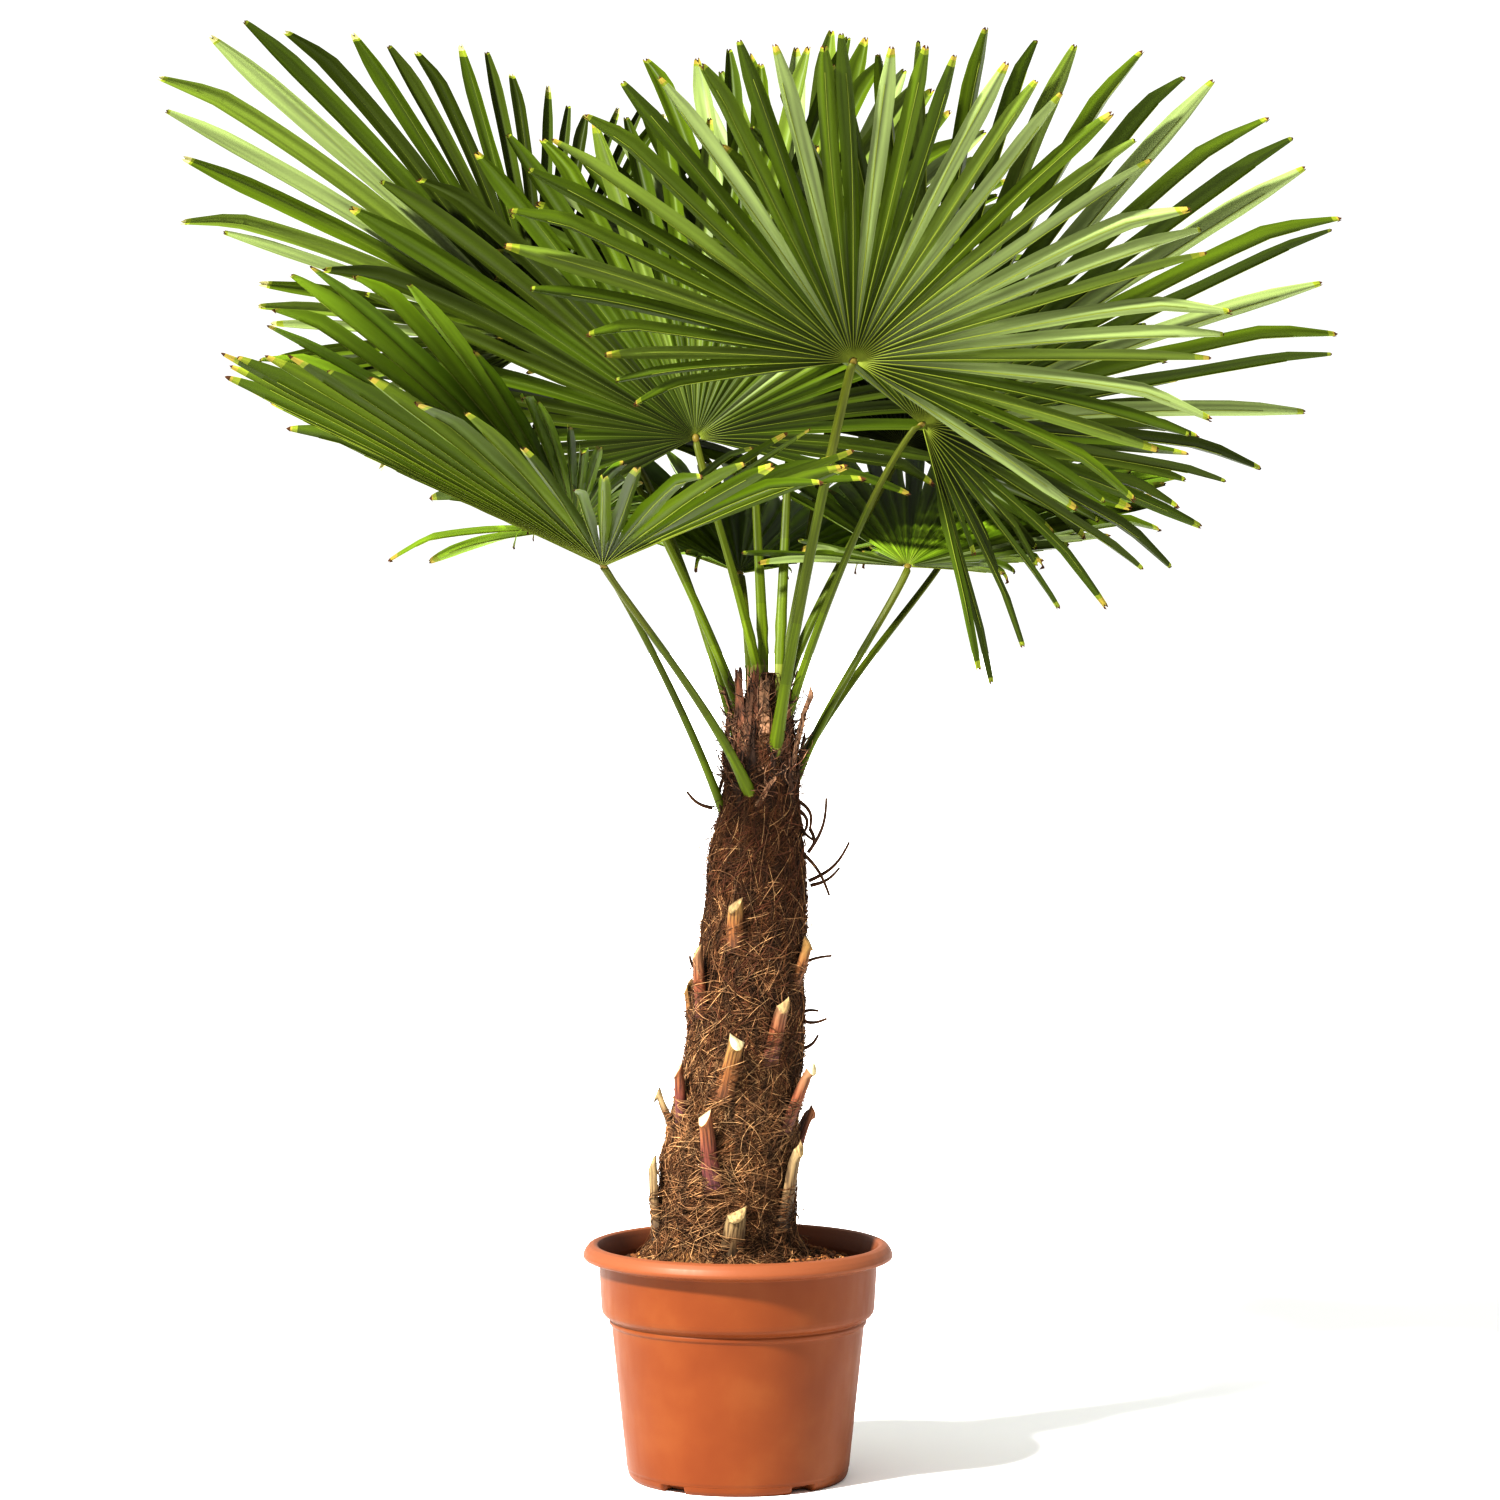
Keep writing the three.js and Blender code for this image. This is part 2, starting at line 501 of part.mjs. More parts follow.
/** One pleated fan, whole near the hub and cut to the ribs between its leaflets further out. */
function makeFrond(frond, reach) {
  const solid = new Solid();
  const at = (turn, radius, length, lift) => {
    const spot = onFrond(frond, turn, radius, length);
    return add(spot.place, mul(spot.normal, lift));
  };
  const pair = (turn, radius, length, lift, thick) => [
    solid.point(at(turn, radius, length, lift + thick / 2)),
    solid.point(at(turn, radius, length, lift - thick / 2)),
  ];
  const crest = (radius) => PLEAT * radius * Math.sin(frond.half);
  const hub = [HUB_THICK / 2, -HUB_THICK / 2].map((h) => solid.point(add(frond.hub, mul(frond.up, h))));
  const corner = (sign) => [HUB_THICK / 2, -HUB_THICK / 2].map((h) => solid.point(add(frond.hub,
    add(mul(frond.axis, -HUB_BACK), add(mul(frond.side, sign * HUB_HALF), mul(frond.up, h))))));
  const backs = [corner(-1), corner(1)];
  const splits = [];
  for (let edge = 0; edge <= frond.count; edge += 1) {
    const radius = splitAt(frond, reach, edge);
    const length = fullLength(frond, Math.min(frond.count - 1, edge));
    splits.push({ radius, ends: pair(frond.turnAt(edge), radius, length, crest(radius), EDGE_THICK) });
  }
  for (let leaflet = 0; leaflet < frond.count; leaflet += 1) {
    const length = fullLength(frond, leaflet);
    const turn = frond.turnAt(leaflet + 0.5);
    const [left, right] = [splits[leaflet], splits[leaflet + 1]];
    const radius = (left.radius + right.radius) / 2;
    const rib = pair(turn, radius, length, -crest(radius), LEAF_THICK);
    const far = reach[leaflet];
    const middle = mix(Math.max(left.radius, right.radius), far, MIDDLE_AT);
    const spot = onFrond(frond, turn, middle, length);
    const wide = Math.max(TIP_HALF, MIDDLE_WIDE * Math.min(length * SPLIT, middle) * Math.sin(frond.half));
    const rise = PLEAT * wide;
    const edgePoint = (sign) => {
      const offset = add(mul(spot.across, sign * wide), mul(spot.normal, rise));
      return solid.point(add(spot.place, offset));
    };
    const [leftEdge, rightEdge] = [edgePoint(-1), edgePoint(1)];
    const ribMiddle = pair(turn, middle, length, -rise, LEAF_THICK);
    const end = onFrond(frond, turn, far, length);
    const tips = [-1, 1].map((sign) => solid.point(add(end.place, mul(end.across, sign * TIP_HALF))));
    for (const face of [0, 1]) {
      const tri = (a, b, c) => (face === 0 ? solid.tri(a, b, c) : solid.tri(a, c, b));
      const quad = (a, b, c, d) => (face === 0 ? solid.quad(a, b, c, d) : solid.quad(a, d, c, b));
      tri(hub[face], left.ends[face], rib[face]);
      tri(hub[face], rib[face], right.ends[face]);
      quad(left.ends[face], leftEdge, ribMiddle[face], rib[face]);
      quad(rib[face], ribMiddle[face], rightEdge, right.ends[face]);
      tri(leftEdge, tips[0], ribMiddle[face]);
      tri(ribMiddle[face], tips[0], tips[1]);
      tri(ribMiddle[face], tips[1], rightEdge);
    }
    solid.tri(left.ends[0], left.ends[1], leftEdge);
    solid.tri(right.ends[1], right.ends[0], rightEdge);
  }
  const first = splits[0].ends;
  const last = splits[frond.count].ends;
  const [backLeft, backRight] = backs;
  for (const face of [0, 1]) {
    const tri = (a, b, c) => (face === 0 ? solid.tri(a, b, c) : solid.tri(a, c, b));
    tri(hub[face], backLeft[face], first[face]);
    tri(hub[face], backRight[face], backLeft[face]);
    tri(hub[face], last[face], backRight[face]);
  }
  solid.quad(backLeft[0], backLeft[1], first[1], first[0]);
  solid.quad(backRight[0], backRight[1], backLeft[1], backLeft[0]);
  solid.quad(last[0], last[1], backRight[1], backRight[0]);
  return solid;
}

/* Stalks. */
const STALK_SIDES = 8;
const STALK_STEPS = 8;
const TIP_FOOT = 0.75;
const FOOT_STRETCH = 2;
const STALK_WIDE = [[0, 8.4], [0.12, 6.2], [0.5, 4.6], [1, 4.4]];
const STOUT_WIDE = [[0, 8.8], [0.12, 6.8], [0.5, 6], [1, 5]];
const STALK_DEEP = [[0, 5.4], [0.12, 4.8], [0.5, 3.8], [1, 3]];
const stalkWide = (frond, t) => read(frond.stout ? STOUT_WIDE : STALK_WIDE, t);

/** The outline of the stalk's upright foot against the trunk. */
function footRing(frond, middle, outward) {
  const side = [-outward[1], outward[0], 0];
  return Array.from({ length: STALK_SIDES }, (_, s) => {
    const angle = ((s + 0.5) / STALK_SIDES) * TAU;
    const high = STALK_DEEP[0][1] * FOOT_STRETCH * Math.sin(angle);
    return add(middle, add(mul(side, stalkWide(frond, 0) * Math.cos(angle)), [0, 0, high]));
  });
}

/** The stalk's middle line as a cubic curve, with its foot and its flat end at the hub. */
function stalkLine(frond) {
  const end = add(frond.hub, mul(frond.axis, -(HUB_BACK + CLEAR)));
  const onTip = frond.foot.x !== undefined;
  const turn = rad(frond.foot.side ?? 0);
  const outward = onTip ? [0, 0, 1] : [Math.cos(turn), Math.sin(turn), 0];
  const z = onTip ? TRUNK_TIP : frond.foot.z;
  let foot = [trunkX(TRUNK_TIP) + (frond.foot.x ?? 0), frond.foot.y ?? 0, TRUNK_TIP + CLEAR];
  if (!onTip) {
    foot = [trunkX(z) + outward[0] * trunkR(z), outward[1] * trunkR(z), z];
    const ring = footRing(frond, foot, outward);
    const patch = ring.flatMap((p, k) => PATCH.map((u) => mixPoint(p, ring[(k + 1) % STALK_SIDES], u)));
    foot = add(foot, mul(outward, seatSlide(patch, outward)));
  }
  const reach = size(sub(end, foot));
  const chord = unit(sub(end, foot));
  const start = unit(add(chord, [0, 0, onTip ? 0.25 : 0.35]));
  const arrive = unit(add(mul(chord, 0.75), mul(frond.axis, 0.45)));
  const p1 = add(foot, mul(start, reach * 0.3));
  const p2 = sub(end, mul(arrive, reach * 0.22));
  const at = (t) => {
    const a = mixPoint(foot, p1, t);
    const b = mixPoint(p1, p2, t);
    const c = mixPoint(p2, end, t);
    return mixPoint(mixPoint(a, b, t), mixPoint(b, c, t), t);
  };
  const base = onTip ? unit(cross([0, 0, 1], chord)) : [-outward[1], outward[0], 0];
  return { at, foot, end, onTip, base };
}

function makeStalk(frond) {
  const line = stalkLine(frond);
  const flip = dot(line.base, frond.side) < 0 ? -1 : 1;
  const finalSide = mul(frond.side, flip);
  const rings = [];
  for (let k = 0; k <= STALK_STEPS; k += 1) {
    const t = k / STALK_STEPS;
    const tangent = unit(sub(line.at(Math.min(1, t + 0.01)), line.at(Math.max(0, t - 0.01))));
    const wish = mixPoint(line.base, finalSide, t);
    let side = unit(sub(wish, mul(tangent, dot(wish, tangent))));
    let deep = unit(cross(tangent, side));
    let stretch = 1;
    if (k === 0 && !line.onTip) {
      side = line.base;
      deep = [0, 0, dot(deep, [0, 0, 1]) < 0 ? -1 : 1];
      stretch = FOOT_STRETCH;
    } else if (k === 0) {
      side = line.base;
      deep = cross([0, 0, 1], side);
    } else if (k === STALK_STEPS) {
      side = finalSide;
      deep = unit(cross(frond.axis, side));
    }
    const wide = stalkWide(frond, t) * (k === 0 && line.onTip ? TIP_FOOT : 1);
    const thick = read(STALK_DEEP, t) * stretch;
    rings.push(Array.from({ length: STALK_SIDES }, (_, s) => {
      const angle = ((s + 0.5) / STALK_SIDES) * TAU;
      return add(line.at(t), add(mul(side, wide * Math.cos(angle)), mul(deep, thick * Math.sin(angle))));
    }));
  }
  return loft(rings);
}

/** Puts a stalk's middle line in the space, so that leaflets of other fronds pass beside it. */
function claimStalk(frond, space) {
  const line = stalkLine(frond);
  const steps = Math.ceil(size(sub(line.end, line.foot)) / SAMPLE);
  for (let k = 0; k <= steps; k += 1) {
    const t = k / steps;
    space.put(line.at(t), stalkWide(frond, t) + 1.5, frond.name);
  }
}

/* The whole plant. */
const plant = new THREE.Group();
plant.name = "potted_windmill_palm";
plant.add(makePot().mesh("pot", POT_FINISH));
plant.add(makeSoil().mesh("soil", SOIL_FINISH));
plant.add(makeTrunk().mesh("trunk", TRUNK_FINISH));
for (const row of BASES) {
  plant.add(makeTongue(row).mesh(row[0], BASE_FINISH));
}
for (const row of SHEATHS) {
  plant.add(makeTongue(row).mesh(row[0], SHEATH_FINISH));
}

const fronds = FRONDS.map((frond) => ready(frond, Number(frond.name.split("_")[1])));
const space = new Space();
for (const frond of fronds) {
  claimStalk(frond, space);
}
for (const frond of fronds) {
  plant.add(makeStalk(frond).mesh(frond.name.replace("frond", "stalk"), STALK_FINISH));
  plant.add(makeFrond(frond, reaches(frond, space)).mesh(frond.name, LEAF_FINISH));
}

export default plant;
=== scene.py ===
"""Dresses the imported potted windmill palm.

The pot, the soil, the fibre-clad trunk, the cut leaf bases, the torn sheaths, the stalks and the fan fronds
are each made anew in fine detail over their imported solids. Sizes inside the classes are millimetres in the
part's own frame, and turn to metres when a mesh is made.
"""

import logging
import math
from collections.abc import Iterator, Mapping, Sequence
from dataclasses import dataclass, field
from enum import Enum

import bmesh
import bpy
import numpy as np
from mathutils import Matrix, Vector, kdtree, noise


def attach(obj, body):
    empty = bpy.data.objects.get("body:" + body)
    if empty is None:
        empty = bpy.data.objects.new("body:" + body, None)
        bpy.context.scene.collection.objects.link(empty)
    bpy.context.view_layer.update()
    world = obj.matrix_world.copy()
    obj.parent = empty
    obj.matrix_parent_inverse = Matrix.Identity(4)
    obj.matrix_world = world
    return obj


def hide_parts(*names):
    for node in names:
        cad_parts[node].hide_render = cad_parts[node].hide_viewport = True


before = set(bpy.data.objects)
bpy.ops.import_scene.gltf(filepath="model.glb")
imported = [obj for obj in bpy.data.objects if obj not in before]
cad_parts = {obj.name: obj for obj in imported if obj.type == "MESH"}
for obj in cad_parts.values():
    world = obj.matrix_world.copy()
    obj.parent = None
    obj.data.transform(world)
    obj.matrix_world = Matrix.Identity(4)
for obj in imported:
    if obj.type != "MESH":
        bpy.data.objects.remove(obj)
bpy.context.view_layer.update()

MM = 0.001
LOG = logging.getLogger("palm")
BODY = "root"
Z_AXIS = Vector((0, 0, 1))


def mix(a: float, b: float, t: float) -> float:
    """Returns the value a share t of the way from a to b."""
    return a + (b - a) * t


def read(table: Sequence[tuple[float, float]], key: float) -> float:
    """Reads a table of (key, value) rows, straight between its rows.

    Args:
        table: Rows in rising order of key.
        key: Where to read.

    Returns:
        The value at the key, held at both ends.
    """
    return float(np.interp(key, [row[0] for row in table], [row[1] for row in table]))


def chance(a: int, b: int, c: int) -> float:
    """Returns the source's repeatable number in 0..1 for three whole-number keys."""
    h = (a * 73856093 + b * 19349663 + c * 83492791) % 2147483647
    for _ in range(3):
        h = (h * 16807 + 12345) % 2147483647
    return h / 2147483647


def linear(hex_code: str) -> tuple[float, float, float, float]:
    """Turns an sRGB hex code to linear red, green, blue and alpha."""
    parts = [int(hex_code[k : k + 2], 16) / 255 for k in (1, 3, 5)]
    red, green, blue = (p / 12.92 if p <= 0.04045 else ((p + 0.055) / 1.055) ** 2.4 for p in parts)
    return red, green, blue, 1.0


def add_node(tree: bpy.types.NodeTree, kind: str, inputs: Mapping | None = None, **settings: object) -> bpy.types.Node:
    """Adds a node, sets its properties, and fills or links its inputs.

    Args:
        tree: The node tree to add to.
        kind: Blender's name for the type of node.
        inputs: Input name or number to a value, or to the output socket that feeds it.
        settings: The node's own properties.

    Returns:
        The new node.
    """
    node = tree.nodes.new(kind)
    for name, value in settings.items():
        setattr(node, name, value)
    for name, value in (inputs or {}).items():
        if isinstance(value, bpy.types.NodeSocket):
            tree.links.new(value, node.inputs[name])
        else:
            node.inputs[name].default_value = value
    return node


def ramp(tree: bpy.types.NodeTree, value: bpy.types.NodeSocket, stops: Sequence[tuple[float, str]]) -> bpy.types.NodeSocket:
    """Colours a value by stops of (place, hex code) and returns the colour socket."""
    node = add_node(tree, "ShaderNodeValToRGB", {"Fac": value})
    elements = node.color_ramp.elements
    while len(elements) < len(stops):
        elements.new(0.5)
    for element, (place, code) in zip(elements, stops):
        element.position = place
        element.color = linear(code)
    return node.outputs["Color"]


def start_material(name: str) -> tuple[bpy.types.Material, bpy.types.NodeTree, bpy.types.Node]:
    """Makes an empty node material and returns it, its tree and its Principled shader."""
    material = bpy.data.materials.new(name)
    material.use_nodes = True
    tree = material.node_tree
    shader = next(node for node in tree.nodes if node.type == "BSDF_PRINCIPLED")
    return material, tree, shader


def shade(colour: str, amount: float) -> str:
    """Returns a hex code made lighter or darker by a factor."""
    parts = [min(255, round(int(colour[k : k + 2], 16) * amount)) for k in (1, 3, 5)]
    return "#%02x%02x%02x" % tuple(parts)


@dataclass(frozen=True)
class LeafSkin:
    """Waxy palm leaf skin: one plain green, streaked along the blade with painted sheen bands, over parallel veins.

    The wax shines softly, a little less where dust lies. Towards the hub the green is painted darker, a painted
    shade deep in the fan. Real veins are about a millimetre apart, too fine to show in the render, so they are
    drawn four times as coarse.
    """

    name: str
    colour: str
    roughness: float = 0.4
    sheen_streak_mm: float = 7.0
    vein_mm: float = 4.0
    spread: float = 0.16
    hub_shade_share: float = 0.32
    hub_shade_mm: float = 150.0

    def make(self) -> bpy.types.Material:
        """Builds the material on the blade's own map, whose units are millimetres across and along."""
        material, tree, shader = start_material(self.name)
        flat = add_node(tree, "ShaderNodeTexCoord").outputs["UV"]
        long = add_node(tree, "ShaderNodeMapping", {"Vector": flat, "Scale": (1 / self.sheen_streak_mm, 0.006, 1.0)})
        streak = add_node(tree, "ShaderNodeTexNoise", {"Vector": long.outputs["Vector"], "Scale": 1.0, "Detail": 1.5})
        # The streaks are painted sheen: lighter and darker bands along the blade, as light falls on the rounded pleats.
        stops = [(0.30, shade(self.colour, 1 - self.spread)), (0.70, shade(self.colour, 1 + self.spread))]
        fine = add_node(tree, "ShaderNodeMapping", {"Vector": flat, "Scale": (1 / self.vein_mm, 0.02, 1.0)})
        vein = add_node(tree, "ShaderNodeTexNoise", {"Vector": fine.outputs["Vector"], "Scale": 1.0, "Detail": 0.0})
        bump = add_node(tree, "ShaderNodeBump", {"Height": vein.outputs["Fac"], "Strength": 0.3, "Distance": 0.0004})
        low, high = self.roughness - 0.06, self.roughness + 0.12
        dust = add_node(tree, "ShaderNodeMapRange", {"Value": streak.outputs["Fac"], "To Min": low, "To Max": high})
        # Painted shade: the green is scaled darker towards the hub along the blade.
        along = add_node(tree, "ShaderNodeSeparateXYZ", {"Vector": flat}).outputs["Y"]
        reach = {"Value": along, "From Max": self.hub_shade_mm, "To Min": self.hub_shade_share, "To Max": 1.0}
        depth = add_node(tree, "ShaderNodeMapRange", reach).outputs["Result"]
        green = {"Vector": ramp(tree, streak.outputs["Fac"], stops), "Scale": depth}
        hub_shaded_green = add_node(tree, "ShaderNodeVectorMath", green, operation="SCALE")
        tree.links.new(hub_shaded_green.outputs["Vector"], shader.inputs["Base Color"])
        shader.inputs["Specular IOR Level"].default_value = 0.1
        tree.links.new(dust.outputs["Result"], shader.inputs["Roughness"])
        tree.links.new(bump.outputs["Normal"], shader.inputs["Normal"])
        material.diffuse_color = linear(self.colour)
        return material


@dataclass(frozen=True)
class StalkSkin:
    """Smooth green leaf-stalk skin: faint lengthwise ribs, small pale flecks and a soft shine."""

    name: str
    colour: str
    roughness: float = 0.4
    fleck_mm: float = 5.0

    def make(self) -> bpy.types.Material:
        """Builds the material on the stalk's own map, whose units are millimetres round and along."""
        material, tree, shader = start_material(self.name)
        flat = add_node(tree, "ShaderNodeTexCoord").outputs["UV"]
        long = add_node(tree, "ShaderNodeMapping", {"Vector": flat, "Scale": (0.35, 0.012, 1.0)})
        streak = add_node(tree, "ShaderNodeTexNoise", {"Vector": long.outputs["Vector"], "Scale": 1.0, "Detail": 4.0})
        stops = [(0.3, shade(self.colour, 0.84)), (0.55, self.colour), (0.75, shade(self.colour, 1.22))]
        spots = add_node(tree, "ShaderNodeTexNoise", {"Vector": flat, "Scale": 1 / self.fleck_mm, "Detail": 4.0})
        bump = add_node(tree, "ShaderNodeBump", {"Height": streak.outputs["Fac"], "Strength": 0.3, "Distance": 0.0005})
        dull = add_node(tree, "ShaderNodeMapRange", {"Value": spots.outputs["Fac"], "To Min": 0.36, "To Max": 0.58})
        tree.links.new(ramp(tree, streak.outputs["Fac"], stops), shader.inputs["Base Color"])
        tree.links.new(dull.outputs["Result"], shader.inputs["Roughness"])
        tree.links.new(bump.outputs["Normal"], shader.inputs["Normal"])
        shader.inputs["Specular IOR Level"].default_value = 0.14
        material.diffuse_color = linear(self.colour)
        return material


@dataclass(frozen=True)
class DryFibre:
    """Dead palm fibre, papery sheath or crumb: dull, bleached in places, rough to the touch."""

    name: str
    colour: str
    roughness: float = 0.85
    patch_mm: float = 9.0
    spread: float = 0.25

    def make(self) -> bpy.types.Material:
        """Builds the material: bleached and stained patches over a fine roughness."""
        material, tree, shader = start_material(self.name)
        place = add_node(tree, "ShaderNodeTexCoord").outputs["Object"]
        long = add_node(tree, "ShaderNodeMapping", {"Vector": place, "Scale": (1.0, 1.0, 0.3)})
        scale = 1 / (self.patch_mm * MM)
        patch = add_node(tree, "ShaderNodeTexNoise", {"Vector": long.outputs["Vector"], "Scale": scale, "Detail": 4.0})
        stops = [(0.32, shade(self.colour, 1 - self.spread)), (0.68, shade(self.colour, 1 + self.spread))]
        bump = add_node(tree, "ShaderNodeBump", {"Height": patch.outputs["Fac"], "Strength": 0.4, "Distance": 0.0008})
        tree.links.new(ramp(tree, patch.outputs["Fac"], stops), shader.inputs["Base Color"])
        tree.links.new(bump.outputs["Normal"], shader.inputs["Normal"])
        shader.inputs["Roughness"].default_value = self.roughness
        shader.inputs["Specular IOR Level"].default_value = 0.25
        material.diffuse_color = linear(self.colour)
        return material


@dataclass(frozen=True)
class WeatheredBase:
    """An old cut leaf base: woody, streaked lengthwise, one colour at its cut end and another at its foot."""

    name: str
    top: str
    middle: str
    foot: str

    def make(self) -> bpy.types.Material:
        """Builds the material on the base's own map: 0 to 1 from foot to cut, streaks across it."""
        material, tree, shader = start_material(self.name)
        flat = add_node(tree, "ShaderNodeTexCoord").outputs["UV"]
        long = add_node(tree, "ShaderNodeMapping", {"Vector": flat, "Scale": (0.5, 2.2, 1.0)})
        streak = add_node(tree, "ShaderNodeTexNoise", {"Vector": long.outputs["Vector"], "Scale": 1.0, "Detail": 6.0})
        height = add_node(tree, "ShaderNodeSeparateXYZ", {"Vector": flat}).outputs["Y"]
        wander = add_node(tree, "ShaderNodeMath", {0: streak.outputs["Fac"], 1: -0.5}, operation="ADD").outputs["Value"]
        along = add_node(tree, "ShaderNodeMath", {0: wander, 1: 0.7, 2: height}, operation="MULTIPLY_ADD").outputs["Value"]
        base = ramp(tree, along, [(0.12, self.foot), (0.5, self.middle), (0.9, self.top)])
        dark = ramp(tree, streak.outputs["Fac"], [(0.33, "#8f8880"), (0.55, "#ffffff")])
        both = add_node(tree, "ShaderNodeMix", {0: 1.0, 6: base, 7: dark}, data_type="RGBA", blend_type="MULTIPLY")
        bump = add_node(tree, "ShaderNodeBump", {"Height": streak.outputs["Fac"], "Strength": 0.6, "Distance": 0.0015})
        tree.links.new(both.outputs[2], shader.inputs["Base Color"])
        tree.links.new(bump.outputs["Normal"], shader.inputs["Normal"])
        shader.inputs["Roughness"].default_value = 0.68
        shader.inputs["Specular IOR Level"].default_value = 0.3
        material.diffuse_color = linear(self.middle)
        return material


Finish = LeafSkin | StalkSkin | DryFibre | WeatheredBase


@dataclass(frozen=True)
class MouldedPolypropylene:
    """Injection-moulded polypropylene: an even terracotta tint with a satin skin and faint dull handling marks.

    The rim is painted paler than the wall, a painted highlight where the light falls on its top.
    """

    colour: str = "#663411"
    chalky: str = "#6d3d19"
    deep: str = "#62300e"
    painted_rim_highlight: str = "#75472d"
    rim_from: float = 0.2385
    rim_to: float = 0.2475
    mark_mm: float = 70.0
    grain_mm: float = 0.9

    def make(self) -> bpy.types.Material:
        """Builds the material: clouded colour, uneven gloss and a fine moulded grain."""
        material, tree, shader = start_material("moulded_polypropylene")
        place = add_node(tree, "ShaderNodeTexCoord").outputs["Object"]
        cloud = add_node(tree, "ShaderNodeTexNoise", {"Vector": place, "Scale": 1 / (self.mark_mm * MM), "Detail": 5.0})
        colour = ramp(tree, cloud.outputs["Fac"], [(0.3, self.deep), (0.52, self.colour), (0.78, self.chalky)])
        wipe = add_node(tree, "ShaderNodeMapping", {"Vector": place, "Scale": (1.0, 1.0, 0.25)})
        rub = add_node(tree, "ShaderNodeTexNoise", {"Vector": wipe.outputs["Vector"], "Scale": 90.0, "Detail": 6.0})
        gloss = add_node(tree, "ShaderNodeMapRange", {"Value": rub.outputs["Fac"], "To Min": 0.36, "To Max": 0.58})
        grain = add_node(tree, "ShaderNodeTexNoise", {"Vector": place, "Scale": 1 / (self.grain_mm * MM), "Detail": 2.0})
        bump = add_node(tree, "ShaderNodeBump", {"Height": grain.outputs["Fac"], "Strength": 0.08, "Distance": 0.0004})
        # Painted highlight: the rim's top is blended to a paler colour, as if lit from above.
        height = add_node(tree, "ShaderNodeSeparateXYZ", {"Vector": place}).outputs["Z"]
        limits = {"Value": height, "From Min": self.rim_from, "From Max": self.rim_to}
        rim_highlight_mask = add_node(tree, "ShaderNodeMapRange", limits)
        pale = {"Factor": rim_highlight_mask.outputs["Result"], "A": colour, "B": linear(self.painted_rim_highlight)}
        both = add_node(tree, "ShaderNodeMix", pale, data_type="RGBA")
        tree.links.new(both.outputs[2], shader.inputs["Base Color"])
        tree.links.new(gloss.outputs["Result"], shader.inputs["Roughness"])
        tree.links.new(bump.outputs["Normal"], shader.inputs["Normal"])
        shader.inputs["Specular IOR Level"].default_value = 0.2
        return material


@dataclass(frozen=True)
class MattedFibre:
    """The felt of old leaf sheaths: coarse crossing strands, golden low down and dark brown above."""

    strand_mm: float = 1.4
    low: float = 0.30
    high: float = 0.80

    def make(self) -> bpy.types.Material:
        """Builds the material: two crossing stretched patterns, tinted by height, with a rough relief."""
        material, tree, shader = start_material("matted_fibre")
        place = add_node(tree, "ShaderNodeTexCoord").outputs["Object"]
        one = add_node(tree, "ShaderNodeMapping", {"Vector": place, "Rotation": (0.5, 0.6, 0.4), "Scale": (1.0, 1.0, 0.14)})
        two = add_node(tree, "ShaderNodeMapping", {"Vector": place, "Rotation": (-0.7, 0.5, 0.3), "Scale": (1.0, 1.0, 0.16)})
        scale = 1 / (self.strand_mm * 4 * MM)
        first = add_node(tree, "ShaderNodeTexNoise", {"Vector": one.outputs["Vector"], "Scale": scale, "Detail": 5.0})
        second = add_node(tree, "ShaderNodeTexNoise", {"Vector": two.outputs["Vector"], "Scale": scale, "Detail": 5.0})
        both = add_node(tree, "ShaderNodeMath", {0: first.outputs["Fac"], 1: second.outputs["Fac"]}, operation="MULTIPLY")
        light = ramp(tree, both.outputs["Value"], [(0.10, "#24160a"), (0.24, "#4e351d"), (0.36, "#745633")])
        dark = ramp(tree, both.outputs["Value"], [(0.12, "#190f08"), (0.26, "#382415"), (0.38, "#523823")])
        height = add_node(tree, "ShaderNodeSeparateXYZ", {"Vector": place}).outputs["Z"]
        up = add_node(tree, "ShaderNodeMapRange", {"Value": height, "From Min": self.low, "From Max": self.high})
        blend = add_node(tree, "ShaderNodeMix", {"Factor": up.outputs["Result"], "A": light, "B": dark}, data_type="RGBA")
        bump = add_node(tree, "ShaderNodeBump", {"Height": both.outputs["Value"], "Strength": 0.9, "Distance": 0.002})
        tree.links.new(blend.outputs[2], shader.inputs["Base Color"])
        tree.links.new(bump.outputs["Normal"], shader.inputs["Normal"])
        shader.inputs["Roughness"].default_value = 0.92
        shader.inputs["Specular IOR Level"].default_value = 0.2
        return material


@dataclass(frozen=True)
class PottingSoil:
    """Peaty potting soil: dull dark crumbs of 2 to 6 mm."""

    crumb_mm: float = 4.0

    def make(self) -> bpy.types.Material:
        """Builds the material: crumbly colour and relief."""
        material, tree, shader = start_material("potting_soil")
        place = add_node(tree, "ShaderNodeTexCoord").outputs["Object"]
        crumb = add_node(tree, "ShaderNodeTexNoise", {"Vector": place, "Scale": 1 / (self.crumb_mm * MM), "Detail": 6.0})
        colour = ramp(tree, crumb.outputs["Fac"], [(0.3, "#2c190c"), (0.5, "#6b4424"), (0.72, "#94683c")])
        bump = add_node(tree, "ShaderNodeBump", {"Height": crumb.outputs["Fac"], "Strength": 0.9, "Distance": 0.003})
        tree.links.new(colour, shader.inputs["Base Color"])
        tree.links.new(bump.outputs["Normal"], shader.inputs["Normal"])
        shader.inputs["Roughness"].default_value = 0.95
        shader.inputs["Specular IOR Level"].default_value = 0.15
        return material


